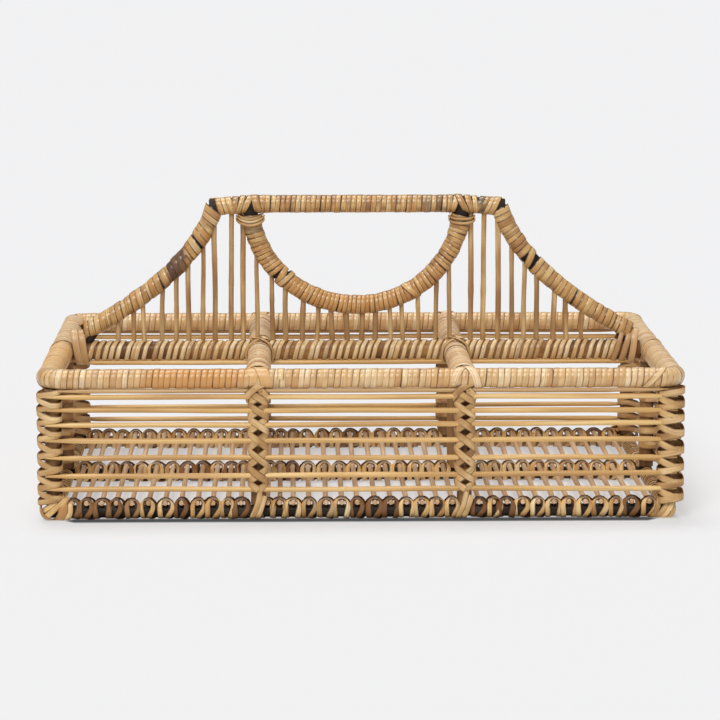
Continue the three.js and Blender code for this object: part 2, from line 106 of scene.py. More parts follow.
def joinPieces(pieces, name):
    pickOnly(pieces[0])
    for piece in pieces:
        piece.select_set(True)
    if len(pieces) > 1:
        bpy.ops.object.join()
    joined = bpy.context.object
    joined.name = joined.data.name = name
    return joined


def hold(piece, material, nodes=()):
    # finish, material slot, body and the solids that the piece stands for
    piece.data.materials.clear()
    piece.data.materials.append(material)
    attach(piece, "root")
    if nodes:
        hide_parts(*nodes)


def wander(seed, at, reach):
    # smooth unevenness of hand work: the same each run
    return reach * noise.noise(Vector((at, seed * 7.31, 2.17)))


# materials: cane strips, poles, reeds
black, white = (0, 0, 0), (1, 1, 1)
reliefDepth = 0.0004  # of the fibres, in metres


class Finish:
    # the nodes of one material
    def __init__(self, name):
        self.material = bpy.data.materials.new(name)
        self.material.use_nodes = True
        self.tree = self.material.node_tree
        self.tree.nodes.clear()
        self.shader = self.add("BsdfPrincipled")
        self.tree.links.new(self.shader.outputs["BSDF"], self.add("OutputMaterial").inputs["Surface"])

    def add(self, kind):
        return self.tree.nodes.new("ShaderNode" + kind)

    def feed(self, socket, value):
        # a link, a colour or a number
        if isinstance(value, bpy.types.NodeSocket):
            self.tree.links.new(value, socket)
        else:
            socket.default_value = (*value, 1) if isinstance(value, tuple) else value

    def uvMap(self):
        uv = self.add("UVMap")
        uv.uv_map = "UVMap"
        return uv.outputs["UV"]

    def place(self):
        return self.add("TexCoord").outputs["Object"]

    def attribute(self, name):
        attribute = self.add("Attribute")
        attribute.attribute_name = name
        return attribute.outputs["Fac"]

    def noise(self, vector, scales, detail, roughness):
        # noise on a stretched copy of a vector
        stretched, pattern = self.add("Mapping"), self.add("TexNoise")
        stretched.inputs["Scale"].default_value = scales
        self.feed(stretched.inputs["Vector"], vector)
        self.feed(pattern.inputs["Vector"], stretched.outputs["Vector"])
        for name, value in (("Scale", 1), ("Detail", detail), ("Roughness", roughness)):
            self.feed(pattern.inputs[name], value)
        return pattern.outputs["Fac"]

    def ramp(self, value, stops):
        ramp = self.add("ValToRGB")
        elements = ramp.color_ramp.elements
        for i, (place, colour) in ((0, stops[0]), (1, stops[-1])):
            elements[i].position, elements[i].color = place, (*colour, 1)
        for place, colour in stops[1:-1]:
            elements.new(place).color = (*colour, 1)
        self.feed(ramp.inputs["Fac"], value)
        return ramp.outputs["Color"]

    def mix(self, factor, first, second):
        mix = self.add("Mix")
        mix.data_type = "RGBA"
        # the colour sockets of this node are the seventh and the eighth
        for socket, value in ((mix.inputs["Factor"], factor), (mix.inputs[6], first), (mix.inputs[7], second)):
            self.feed(socket, value)
        return mix.outputs[2]

    def calc(self, operation, first, second=0.0, clamp=False):
        work = self.add("Math")
        work.operation, work.use_clamp = operation, clamp
        self.feed(work.inputs[0], first)
        self.feed(work.inputs[1], second)
        return work.outputs[0]

    def spread(self, value, start, end, fromRange=(0, 1), kind="LINEAR"):
        spread = self.add("MapRange")
        spread.interpolation_type = kind
        for name, number in zip(("From Min", "From Max", "To Min", "To Max"), (*fromRange, start, end)):
            self.feed(spread.inputs[name], number)
        self.feed(spread.inputs["Value"], value)
        return spread.outputs["Result"]

    def fibres(self, vector, look, grain):
        # the tone changes slowly along the cane, and darker fibres run along it
        tone = self.noise(vector, (grain["toneAcross"], look["toneScale"], 1), 2, grain["toneRoughness"])
        streak = self.noise(vector, (look["grain"], grain["streakAlong"], 1), 3, 0.65)
        dark = self.ramp(streak, list(zip(grain["streakRamp"], (black, white))))
        share = self.calc("MULTIPLY", dark, look["streaks"])
        return streak, self.mix(share, self.ramp(tone, look["tones"]), look["streak"])

    def surface(self, look, colour, streak, height):
        # colour, sheen and fine relief
        bump = self.add("Bump")
        self.feed(bump.inputs["Strength"], look["bump"])
        self.feed(bump.inputs["Distance"], reliefDepth)
        self.feed(bump.inputs["Height"], height)
        for name, value in (("Base Color", colour), ("Roughness", self.spread(streak, *look["roughness"])),
                            ("Normal", bump.outputs["Normal"]), ("Coat Weight", look["coat"]),
                            ("Coat Roughness", look["gloss"]), ("Specular IOR Level", look["shine"])):
            self.feed(self.shader.inputs[name], value)
        self.material.diffuse_color = (*look["tones"][1][1], 1)
        return self.material


# scales of the patterns across and along a strip, and where their ramps begin and end
stripGrain = {"toneAcross": 0.25, "toneRoughness": 0.55, "streakAlong": 24, "streakRamp": (0.46, 0.62),
              "fleckScales": (3, 160, 1), "fleckRamp": (0.62, 0.74), "edgeSharp": 9.0, "edgeShadeScales": (1.1, 21, 1),
              "edgeShadeRamp": (0.32, 0.52), "edgeShadeLeast": (0.15, 0.15, 0.15), "reliefScales": (16, 30, 1)}
stickGrain = {"toneAcross": 1.2, "toneRoughness": 0.5, "streakAlong": 12, "streakRamp": (0.45, 0.72)}


def caneMaterial(name, look):
    # split cane: u runs across a strip from 0 to 1, v along it in metres from a start of its own
    finish = Finish(name)
    vector, grain = finish.uvMap(), stripGrain
    streak, colour = finish.fibres(vector, look, grain)
    flecks = finish.noise(vector, grain["fleckScales"], 2, 0.5)
    flecks = finish.ramp(flecks, list(zip(grain["fleckRamp"], (black, white))))
    colour = finish.mix(finish.calc("MULTIPLY", flecks, look["flecks"]), colour, look["fleck"])
    # the brown, gold and dark layers hold stains, and painted shade too: dark on the tie crowns, brown on the inside
    # of the post lashings
    for tint in ("brown", "gold", "dark"):
        colour = finish.mix(finish.attribute(tint), colour, look[tint])
    # edges of a strip: painted shade where it lies in its neighbour's shade, and the dust they hold; a mottle of noise
    # breaks the painted shade up along the strip
    split = finish.add("SeparateXYZ")
    finish.feed(split.inputs["Vector"], vector)
    centred = finish.calc("ABSOLUTE", finish.calc("SUBTRACT", split.outputs["X"], 0.5))
    edge = finish.calc("MULTIPLY", finish.calc("SUBTRACT", centred, look["edgeFrom"]), grain["edgeSharp"], True)
    mottle = finish.noise(vector, grain["edgeShadeScales"], 1, 0.5)
    mottle = finish.ramp(mottle, list(zip(grain["edgeShadeRamp"], (grain["edgeShadeLeast"], white))))
    edge = finish.calc("MULTIPLY", finish.calc("MULTIPLY", edge, mottle), look["edges"])
    colour = finish.mix(edge, colour, look["edge"])
    return finish.surface(look, colour, streak, finish.noise(vector, grain["reliefScales"], 3, 0.6))


def stickMaterial(name, look):
    # round sticks and poles: u runs round them, v along them in metres
    finish = Finish(name)
    streak, colour = finish.fibres(finish.uvMap(), look, stickGrain)
    colour = finish.mix(finish.attribute("brown"), colour, look["brown"])
    return finish.surface(look, colour, streak, streak)


def coreMaterial(name, deep, mottle):
    # the poles inside the wraps, seen only as dark lines between the turns: their near black colour is painted shade
    # for those gaps
    finish = Finish(name)
    colour = finish.ramp(finish.noise(finish.place(), (90, 90, 90), 3, 0.6), [(0.35, deep), (0.7, mottle)])
    for socket, value in (("Base Color", colour), ("Roughness", 0.8), ("Specular IOR Level", 0.15)):
        finish.feed(finish.shader.inputs[socket], value)
    return finish.material


# tones are stops of a ramp from the darkest cane to the palest; edge is the colour of the painted shade and dust along
# a strip's edges, and dark that of stains and of the painted shade on the tie crowns
caneLook = {
    "toneScale": 12, "grain": 4.5, "streaks": 0.5, "flecks": 0.5, "edges": 0.9, "edgeFrom": 0.345, "bump": 0.35,
    "coat": 0.6, "gloss": 0.27, "shine": 0.45, "roughness": (0.32, 0.52),
    "tones": [(0.34, (0.60, 0.35, 0.14)), (0.45, (0.74, 0.48, 0.215)), (0.54, (0.83, 0.585, 0.295)),
              (0.64, (0.90, 0.70, 0.42))],
    "streak": (0.50, 0.28, 0.11), "fleck": (0.22, 0.10, 0.04), "brown": (0.33, 0.15, 0.05),
    "gold": (0.64, 0.305, 0.08), "dark": (0.035, 0.022, 0.015), "edge": (0.15, 0.06, 0.018),
}
peachLook = dict(caneLook, toneScale=16, edges=0.95, edgeFrom=0.38, edge=(0.22, 0.08, 0.03), streaks=0.3, coat=0.4,
                 tones=[(0.34, (0.72, 0.42, 0.19)), (0.45, (0.92, 0.595, 0.30)), (0.56, (1.0, 0.735, 0.42)),
                        (0.66, (1.0, 0.85, 0.57))])
railCaneLook = dict(caneLook, toneScale=25, grain=6, streaks=0.6, coat=0.55,
                    tones=[(0.34, (0.56, 0.32, 0.12)), (0.45, (0.78, 0.53, 0.24)), (0.54, (0.88, 0.67, 0.36)),
                           (0.64, (0.94, 0.79, 0.51))])
handleCaneLook = dict(caneLook, toneScale=25, grain=6.5, edges=1.0, edgeFrom=0.32, edge=(0.05, 0.019, 0.006),
                      streaks=0.8, streak=(0.34, 0.165, 0.05), gloss=0.22, brown=(0.22, 0.088, 0.038),
                      tones=[(0.34, (0.42, 0.20, 0.06)), (0.45, (0.64, 0.375, 0.125)), (0.54, (0.79, 0.52, 0.205)),
                             (0.64, (0.92, 0.69, 0.345))])
sideRailLook = dict(caneLook, edges=0.4, edgeFrom=0.40, streaks=0.35, coat=0.5, gold=(0.90, 0.54, 0.20),
                    tones=[(0.34, (0.68, 0.43, 0.20)), (0.45, (0.82, 0.56, 0.29)), (0.56, (0.92, 0.67, 0.39)),
                           (0.66, (0.96, 0.78, 0.52))])
jointCaneLook = dict(sideRailLook, gold=(0.72, 0.41, 0.14), coat=0.35, grain=6, streaks=0.65, edges=0.75)
lashLook = dict(caneLook, toneScale=34, grain=6, streaks=0.7, flecks=0.7, coat=0.15, shine=0.35,
                tones=[(0.34, (0.29, 0.14, 0.048)), (0.44, (0.53, 0.31, 0.115)), (0.54, (0.72, 0.47, 0.205)),
                       (0.65, (0.87, 0.63, 0.33))])
tieCaneLook = dict(lashLook, brown=(0.21, 0.09, 0.032), gold=(0.70, 0.36, 0.11),
                   tones=[(0.34, (0.38, 0.18, 0.055)), (0.44, (0.70, 0.42, 0.155)), (0.54, (0.96, 0.655, 0.29)),
                          (0.65, (1.0, 0.83, 0.48))])
reedLook = {
    "toneScale": 9, "grain": 5, "streaks": 0.6, "bump": 0.25, "coat": 0.3, "gloss": 0.28, "shine": 0.5,
    "roughness": (0.35, 0.55), "streak": (0.44, 0.23, 0.08), "brown": (0.40, 0.25, 0.135),
    "tones": [(0.35, (0.56, 0.31, 0.09)), (0.5, (0.74, 0.45, 0.15)), (0.65, (0.83, 0.565, 0.235))],
}
rodLook = dict(reedLook, streak=(0.38, 0.20, 0.10), streaks=0.5, coat=0.15,
               tones=[(0.35, (0.50, 0.285, 0.135)), (0.5, (0.67, 0.42, 0.215)), (0.65, (0.80, 0.555, 0.32))])
spindleLook = dict(reedLook, toneScale=22, streak=(0.27, 0.13, 0.04), brown=(0.33, 0.18, 0.075),
                   tones=[(0.37, (0.38, 0.19, 0.06)), (0.5, (0.60, 0.36, 0.135)), (0.63, (0.82, 0.58, 0.27))])
poleLook = dict(reedLook, toneScale=14, coat=0.12, bump=0.3, shine=0.22, streak=(0.09, 0.035, 0.012),
                brown=(0.08, 0.04, 0.02),
                tones=[(0.35, (0.13, 0.05, 0.014)), (0.5, (0.28, 0.12, 0.032)), (0.65, (0.48, 0.25, 0.08))])
tanPoleLook = dict(poleLook, coat=0.1, shine=0.3, roughness=(0.45, 0.65),
                   tones=[(0.35, (0.14, 0.06, 0.02)), (0.5, (0.24, 0.12, 0.04)), (0.65, (0.38, 0.21, 0.08))])
backPoleLook = dict(tanPoleLook,
                    tones=[(0.35, (0.30, 0.16, 0.065)), (0.5, (0.44, 0.26, 0.11)), (0.65, (0.56, 0.36, 0.17))])
darkPoleLook = dict(poleLook, coat=0.05, roughness=(0.6, 0.85), shine=0.12, streak=(0.016, 0.011, 0.008),
                    tones=[(0.35, (0.016, 0.011, 0.008)), (0.5, (0.032, 0.023, 0.017)), (0.68, (0.085, 0.06, 0.044))])

paleCane = caneMaterial("pale wrapped cane", caneLook)
railCane = caneMaterial("creamy rail cane", railCaneLook)
peachCane = caneMaterial("peach divider cane", peachLook)
handleCane = caneMaterial("handle cane", handleCaneLook)
sideRailCane = caneMaterial("bright side rail cane", sideRailLook)
jointCane = caneMaterial("golden joint cane", jointCaneLook)
tanCane = caneMaterial("tan lashing cane", lashLook)
tieCane = caneMaterial("golden tie cane", tieCaneLook)
goldenReed = stickMaterial("golden reed", reedLook)
pinkRod = stickMaterial("pinkish brown floor rod", rodLook)
brownSpindle = stickMaterial("brown spindle", spindleLook)
brownPole = stickMaterial("glossy brown pole", poleLook)
tanPole = stickMaterial("tan post", tanPoleLook)
backPole = stickMaterial("brown back pole", backPoleLook)
darkPole = stickMaterial("near black pole", darkPoleLook)
wrapCore = coreMaterial("dark core, painted shade between the wraps", (0.022, 0.013, 0.008), (0.06, 0.036, 0.02))
print("materials made")


# strips of cane
flatRound = [(-1.0, 0.2), (-0.84, 0.8), (0.0, 1.0), (0.84, 0.8), (1.0, 0.2)]  # place and height across a strip
stripStart = random.Random(41)
caneLength = 40  # metres of cane that the strips are cut from: the start sets a strip's tones and its unevenness
stripRates = {"seed": 3.7, "width": 0.05, "lift": 0.07}


def layStrip(route, look):
    # a flat ribbon from a grid, bent along its route: a row for each (point, way it faces), in millimetres
    rows, across = len(route), len(flatRound)
    deselectAll()
    bpy.ops.mesh.primitive_grid_add(x_subdivisions=across - 1, y_subdivisions=rows - 1, size=1, calc_uvs=True)
    strip = bpy.context.object
    mesh = strip.data
    points = [point for point, out in route]
    runs = [0.0]
    for before, after in zip(points, points[1:]):
        runs.append(runs[-1] + (after - before).length)
    start = look.get("start", stripStart.uniform(0, caneLength))
    seed = start * stripRates["seed"]
    for row, (point, out) in enumerate(route):
        along = points[min(row + 1, rows - 1)] - points[max(row - 1, 0)]
        side = along.cross(out).normalized()
        away = side.cross(along).normalized()
        narrow = look["width"] / 2 * (1 + wander(seed, runs[row] * stripRates["width"], look["uneven"]))
        lift = wander(seed + 3, runs[row] * stripRates["lift"], look["lift"])
        for column, (u, height) in enumerate(flatRound):
            place = point + side * (u * narrow) + away * (lift + height * look["crown"])
            mesh.vertices[row * across + column].co = place * mm
    for name in ("brown", "gold", "dark"):
        layer = mesh.attributes.new(name, "FLOAT", "POINT")
        paint = look.get(name, 0)
        for row in range(rows):
            value = paint(points[row], runs[row]) if callable(paint) else paint
            for column in range(across):
                layer.data[row * across + column].value = value
    uvs = mesh.uv_layers.active
    for loop in mesh.loops:
        row, column = divmod(loop.vertex_index, across)
        uvs.data[loop.index].uv = ((flatRound[column][0] + 1) / 2, start + runs[row] * mm)
    uvs.name = "UVMap"
    return strip


def finishStrips(strips, name, look, material, nodes=()):
    # one piece of the ribbons, which get their thickness inwards and are closed all round
    piece = joinPieces(strips, name)
    solid = piece.modifiers.new("thickness", "SOLIDIFY")
    solid.thickness = look["thickness"] * mm
    solid.offset = -1
    solid.use_even_offset = False
    applyAll(piece)
    bpy.ops.object.shade_smooth_by_angle(angle=math.radians(58))
    hold(piece, material, nodes)


def mirrored(keys, xWay, yWay, x=0.0, y=0.0):
    # the keys of one corner or joint, set at a place and turned over where a way is -1
    return [(x + xWay * px, y + yWay * py, pz, xWay * ox, yWay * oy, oz) for px, py, pz, ox, oy, oz in keys]


def smoothRoute(keys, steps):
    # a smooth way through keys, each a point and the way that the strip faces there
    keys = [(Vector(key[:3]), Vector(key[3:]).normalized()) for key in keys]
    route = []
    last = len(keys) - 1
    for i in range(last):
        near = [keys[max(0, min(last, i + k))] for k in (-1, 0, 1, 2)]
        for step in range(steps if i < last - 1 else steps + 1):
            t = step / steps
            shares = ((-t + 2 * t * t - t ** 3) / 2, (2 - 5 * t * t + 3 * t ** 3) / 2,
                      (t + 4 * t * t - 3 * t ** 3) / 2, (t ** 3 - t * t) / 2)
            point = sum((key[0] * share for key, share in zip(near, shares)), Vector())
            route.append((point, (near[1][1] * (1 - t) + near[2][1] * t).normalized()))
    return route


def ringRoute(centre, toward, above, reach, slant=0.0, span=(-180, 180), steps=22, tall=1.0):
    # a turn round a pole, leaning along it: forward at the `above` side and back on the other
    axis = above.cross(toward).normalized()
    route = []
    for step in range(steps + 1):
        angle = math.radians(span[0] + (span[1] - span[0]) * step / steps)
        ring = toward * math.cos(angle) + above * (tall * math.sin(angle))
        out = (toward * math.cos(angle) + above * (math.sin(angle) / tall)).normalized()
        route.append((centre + axis * (slant * math.sin(angle)) + ring * reach, out))
    return route


class Line:
    # centre line of a pole in a plane. A weight above 1 packs the turns of its wrap closer on that stretch
    def __init__(self, points, normal, weights=None):
        self.points, self.normal = points, normal
        self.runs = [0.0]
        ways = []
        for i in range(len(points) - 1):
            step = points[i + 1] - points[i]
            ways.append(step.normalized())
            self.runs.append(self.runs[-1] + step.length * (weights[i] if weights else 1))
        self.ways = [ways[0]] + [(a + b).normalized() for a, b in zip(ways, ways[1:])] + [ways[-1]]
        self.length = self.runs[-1]
        self.index = 0

    def at(self, run):
        run = max(0.0, min(self.length, run))
        while self.index > 0 and self.runs[self.index] > run:
            self.index -= 1
        while self.index < len(self.runs) - 2 and self.runs[self.index + 1] < run:
            self.index += 1
        i = self.index
        share = (run - self.runs[i]) / (self.runs[i + 1] - self.runs[i])
        return self.points[i].lerp(self.points[i + 1], share), self.ways[i].lerp(self.ways[i + 1], share).normalized()

    def runNear(self, x):
        return self.runs[min(range(len(self.points)), key=lambda i: abs(self.points[i].x - x))]


helixRates = {"jitter": 0.9, "swell": 0.7}
wrapSink = 0.05


def helixRoute(line, look, fromRun=0.0, toRun=None):
    # a strip wound close round a pole. No turn is quite the same as the last
    toRun = line.length if toRun is None else toRun
    steps, seed = look["steps"], look["seed"]
    turns = max(1, round((toRun - fromRun) / look["pitch"]))
    pitch = (toRun - fromRun) / turns
    route = []
    for step in range(turns * steps + 1):
        turn = step / steps
        angle = 2 * math.pi * turn
        run = fromRun + turn * pitch + wander(seed, turn * helixRates["jitter"], look["jitter"] * pitch)
        point, along = line.at(max(fromRun, min(toRun, run)))
        outward = along.cross(line.normal).normalized()
        out = outward * math.cos(angle) + line.normal * math.sin(angle)
        point = point + along * (look.get("lean", 0) * math.cos(angle))
        reach = look["radius"] - look["crown"] - wrapSink
        reach += wander(seed + 9, turn * helixRates["swell"], look["swell"])
        reach += look["swellAt"](run) if "swellAt" in look else 0.0
        route.append((point + out * reach, out))
    return route


def wrapPole(name, line, look, material, nodes, extra=(), **span):
    strips = [layStrip(helixRoute(line, look, **span), look), *extra]
    finishStrips(strips, name, look, material, nodes)


def turnPaint(seed, low, high, rate=0.11):
    # stain that changes from one turn to the next
    def paint(point, run):
        return max(0.0, min(1.0, low + (high - low) * (0.5 + 1.3 * noise.noise(Vector((run * rate, seed, 4.4))))))
    return paint


def stretch(place, reach, amount, under=None, sharp=2):
    # stain round one place along X. A higher `sharp` gives it a clearer edge
    def paint(point, run):
        more = under(point, run) if under else 0.0
        return min(1.0, more + amount * math.exp(-(abs((point.x - place) / reach) ** sharp)))
    return paint


def fullerEnd(length, end, reach, amount):
    # a wrap that grows toward one end of its line
    def swell(run):
        near = run if end < 0 else length - run
        return amount * max(0.0, 1 - near / reach) ** 1.5
    return swell


# wraps of the rims
rimWrapLook = {"pitch": 4.0, "width": 4.5, "crown": 0.36, "thickness": 0.75, "radius": rimR, "steps": 18,
               "uneven": 0.14, "lift": 0.12, "jitter": 0.2, "swell": 0.4}
railWrapLook = dict(rimWrapLook, radius=sideR, pitch=3.8, width=4.4, crown=0.28, swell=0.6)
cornerSteps, cornerWeight, stubWeight = 8, 1.6, 1.3  # more turns go round the outside of a corner
# a strip end cut on the front, and a slanted one near the right end
rimExtraSink = 0.35
rimExtras = [
    {"place": -53.5, "slant": 0.4, "span": (2, 150), "lift": 0.25, "width": 4.6},
    {"place": 192.8, "slant": 6.5, "span": (-62, 130), "lift": 0.5, "width": 4.4},
]


def cornerPoints(centreX, centreY, fromAngle):
    # a quarter turn of the rim
    points = []
    for i in range(cornerSteps + 1):
        angle = fromAngle + math.pi / 2 * i / cornerSteps
        points.append(Vector((centreX + turnRadius * math.cos(angle), centreY + turnRadius * math.sin(angle), rimZ)))
    return points


def rimLine(way):
    # along the long side, with both ends turned round the corner
    turnX, turnY = rimX - turnRadius, turnRadius - rimY
    stub = Vector((rimX, -sideEndY - 0.3, rimZ))
    points = [Vector((-stub.x, stub.y, stub.z)), *cornerPoints(-turnX, turnY, math.pi),
              *cornerPoints(turnX, turnY, math.pi * 1.5), stub]
    corner = [cornerWeight] * cornerSteps
    if way > 0:
        points = [Vector((-p.x, -p.y, p.z)) for p in points]
    return Line(points, up, [stubWeight, *corner, 1, *corner, stubWeight])


for side, way in longSides:
    look = dict(rimWrapLook, seed=11 + way, gold=turnPaint(3 + way, 0, 0.3),
                brown=stretch(-141, 3.5, 0.5, stretch(-62, 7, 0.22, turnPaint(8, -0.25, 0.22, 0.17))))
    extras = []
    if way < 0:
        look["gold"] = stretch(-110, 37, 0.95, stretch(58, 16, 0.35, turnPaint(3 + way, -0.05, 0.28)), 4)
        for extra in rimExtras:
            route = ringRoute(Vector((0, -rimY, rimZ)) + xAxis * extra["place"], toFront, up,
                              rimR - rimExtraSink + extra["lift"], extra["slant"], extra["span"], 14)
            extras.append(layStrip(route, dict(rimWrapLook, width=extra["width"], gold=0.1)))
    wrapPole(f"rim_wrap_{side}", rimLine(way), look, paleCane, (f"rim_{side}_wrap",), extras)

narrowEnd = {"run": 14, "rise": 1.0, "less": -1.2}
for side, way in shortSides:
    # the wrap narrows and rises at both ends, to meet the turned ends of the rims
    places = [(-sideEndY, narrowEnd["rise"]), (narrowEnd["run"] - sideEndY, 0),
              (sideEndY - narrowEnd["run"], 0), (sideEndY, narrowEnd["rise"])]
    line = Line([Vector((way * (sideX + out), y, sideZ + out)) for y, out in places], up)
    ends = [fullerEnd(line.length, end, narrowEnd["run"], narrowEnd["less"]) for end in (-1, 1)]
    golden = 0.7 if way < 0 else 0.15

    def gold(point, run, golden=golden):
        share = 1 if -126 < point.y < -8 else 0.1
        return golden * share + 0.25 * max(0, noise.noise(Vector((run * 0.02, 3, golden))))
    look = dict(railWrapLook, seed=23 + way, gold=gold, brown=turnPaint(31 + way, -0.25, 0.28, 0.03),
                swellAt=lambda run, ends=ends: ends[0](run) + ends[1](run))
    wrapPole(f"rim_wrap_{side}", line, look, sideRailCane, (f"rim_{side}_wrap",))

dividerWrapLook = dict(railWrapLook, radius=halfSize("divider_left_front_wrap").x, width=4.2, crown=0.55)
for side, way in shortSides:
    for half, toward in longSides:
        line = Line([Vector((way * dividerX, toward * y, sideZ)) for y in (dividerNear, dividerFar)], up)
        look = dict(dividerWrapLook, seed=37 + way + 3 * toward, gold=turnPaint(21 + way, -0.1, 0.18, 0.025),
                    brown=turnPaint(17 + way + toward, -0.15, 0.25, 0.03), swellAt=fullerEnd(line.length, 1, 70, 1.6))
        wrapPole(f"divider_wrap_{side}_{half}", line, look, peachCane, (f"divider_{side}_{half}_wrap",))
print("rims and dividers wrapped")


# round poles and sticks, with the knots and slight bends of real ones
stickLook = {"swellRate": 0.03, "bendRate": 0.012, "ease": 12, "knots": (), "knot": 0.09, "knotReach": 2.2, "tip": 0.4,
             "brown": 0}


def roundStick(line, radius, look):
    # a cylinder cut into rings, swollen at its knots and laid along a line, in millimetres
    look = dict(stickLook, **look)
    length = line.length
    deselectAll()
    bpy.ops.mesh.primitive_cylinder_add(vertices=look["sides"], radius=radius * mm, depth=length * mm)
    stick = bpy.context.object
    mesh = stick.data
    bpy.ops.object.mode_set(mode="EDIT")
    bpy.ops.mesh.select_all(action="DESELECT")
    bpy.ops.object.mode_set(mode="OBJECT")
    for edge in mesh.edges:
        low, high = (mesh.vertices[i].co for i in edge.vertices)
        edge.select = abs(low.z - high.z) > length * mm * 0.5
    bpy.ops.object.mode_set(mode="EDIT")
    bpy.ops.mesh.select_mode(type="EDGE")
    bpy.ops.mesh.subdivide(number_cuts=look["rings"])
    bpy.ops.mesh.select_all(action="DESELECT")
    bpy.ops.object.mode_set(mode="OBJECT")
    seed, rate, wobble = look["seed"], look["bendRate"], look["wobble"]
    where = []
    for vertex in mesh.vertices:
        run = vertex.co.z / mm + length / 2
        ring = Vector((vertex.co.x, vertex.co.y)) / mm
        swell = 1 + wander(seed, run * look["swellRate"], look["uneven"])
        for knot in look["knots"]:
            swell += look["knot"] * math.exp(-((run - knot * length) / look["knotReach"]) ** 2)
        if "taper" in look:
            for toEnd in (run, length - run):
                swell *= min(1, look["tip"] + (1 - look["tip"]) * toEnd / look["taper"])
        # no bend at the ends, which meet other poles
        ease = min(1, run / look["ease"], (length - run) / look["ease"])
        point, along = line.at(run)
        across = along.cross(line.normal).normalized()
        shift = across * wander(seed + 5, run * rate, wobble) + line.normal * wander(seed + 8, run * rate, wobble)
        where.append((run, math.atan2(ring.y, ring.x)))
        vertex.co = (point + (across * ring.x + line.normal * ring.y) * swell + shift * ease) * mm
    uvs = mesh.uv_layers.active
    for polygon in mesh.polygons:
        angles = [where[i][1] for i in polygon.vertices]
        seam = max(angles) - min(angles) > math.pi
        for loopIndex, vertexIndex in zip(polygon.loop_indices, polygon.vertices):
            run, angle = where[vertexIndex]
            if seam and angle < 0:
                angle += 2 * math.pi
            uvs.data[loopIndex].uv = (angle / (2 * math.pi) + 3.1 * seed, seed * 1.73 + run * mm)
    uvs.name = "UVMap"
    layer = mesh.attributes.new("brown", "FLOAT", "POINT")
    for point in layer.data:
        point.value = look["brown"]
    return stick


def straight(fromPoint, toPoint):
    fromPoint, toPoint = Vector(fromPoint), Vector(toPoint)
    along = (toPoint - fromPoint).normalized()
    first = yAxis if abs(along.z) > 0.7 else up
    across = along.cross(first).normalized()
    return Line([fromPoint, toPoint], across.cross(along).normalized())


def finishSticks(sticks, name, material, nodes=(), bevel=0.5):
    piece = joinPieces(sticks, name)
    soft = piece.modifiers.new("soft ends", "BEVEL")
    soft.width = bevel * mm
    soft.segments = 2
    soft.limit_method = "ANGLE"
    soft.angle_limit = math.radians(60)
    applyAll(piece)
    bpy.ops.object.shade_smooth_by_angle(angle=math.radians(50))
    hold(piece, material, nodes)


# bare poles
poleShape = {"sides": 20, "rings": 30, "wobble": 0.25, "uneven": 0.05}


def setPole(name, node, fromPoint, toPoint, radius, material, bevel=0.5, **shape):
    pole = roundStick(straight(fromPoint, toPoint), radius, dict(poleShape, **shape))
    finishSticks([pole], name, material, (node,), bevel)


for (side, way), material in zip(longSides, (darkPole, backPole)):
    half = halfSize(f"base_{side}").x
    setPole(f"base_pole_{side}", f"base_{side}", (1.2 - half, way * postY, baseZ), (half - 3.0, way * postY, baseZ),
            baseR, material, 2.4, seed=3 + way, knots=(0.2, 0.55, 0.83))
half = halfSize("base_centre").x
setPole("base_pole_centre", "base_centre", (-half, 0, baseZ), (half, 0, baseZ), baseR, darkPole,
        seed=6, knots=(0.3, 0.7))
for side, way in shortSides:
    half = halfSize(f"base_{side}").y
    setPole(f"base_pole_{side}", f"base_{side}", (way * postX, -half, baseZ), (way * postX, half, baseZ), baseR,
            darkPole, seed=9 + way, knots=(0.4,))
railMiddle = Vector((0, 0, railZ))
setPole("rail_pole", "centre_rail", railMiddle - xAxis * railHalf, railMiddle + xAxis * railHalf, railR, brownPole,
        rings=60, sides=28, seed=13, knots=(0.12, 0.41, 0.66, 0.9))
postNames = [f"post_{side}_{end}_{place}" for side in ("front", "back") for end in ("left", "right")
             for place in ("corner", "middle")] + ["post_left", "post_right", "post_centre_left", "post_centre_right"]
for i, name in enumerate(postNames):
    low, high = nodeBox(name)
    centre = (low + high) / 2
    setPole(f"{name}_pole", name, (centre.x, centre.y, low.z), (centre.x, centre.y, high.z), postR, tanPole,
            rings=12, seed=17 + i, knots=(0.3 + 0.05 * (i % 5),))
print("bare poles made")


# walls of reeds, and a thin brown one under each long rim
reedShape = {"sides": 10, "rings": 22, "wobble": 0.7, "uneven": 0.1, "bendRate": 0.009, "taper": 3.5}
reedRadius = 1.78
rimReed = {"z": 87.3, "y": 142.2, "half": 203, "radius": 1.4}
reedTilts = (0.2, 0.5, -0.4, 0.1, 0.4, -0.5, 0.3)
for side, way in longSides:
    half = halfSize(f"wall_{side}").x
    sticks = []
    for i, (height, tilt) in enumerate(zip(reedHeights, reedTilts)):
        line = straight((-half, way * wallY, height + tilt), (half, way * wallY, height - tilt))
        sticks.append(roundStick(line, reedRadius, dict(reedShape, seed=31 + i + 9 * way, knots=(0.15 + 0.1 * i,))))
    line = straight(*((end * rimReed["half"], way * rimReed["y"], rimReed["z"]) for end in (-1, 1)))
    sticks.append(roundStick(line, rimReed["radius"], dict(reedShape, seed=47 + way, wobble=0.3, brown=0.55)))
    finishSticks(sticks, f"reeds_{side}", goldenReed)
for side, way in shortSides:
    half = postY + 4.5
    sticks = []
    for i, height in enumerate(reedHeights):
        line = straight((way * wallX, -half, height), (way * wallX, half, height))
        sticks.append(roundStick(line, reedRadius, dict(reedShape, seed=51 + i + 9 * way, rings=14, taper=4)))
    finishSticks(sticks, f"reeds_{side}", goldenReed)
print("wall reeds laid")


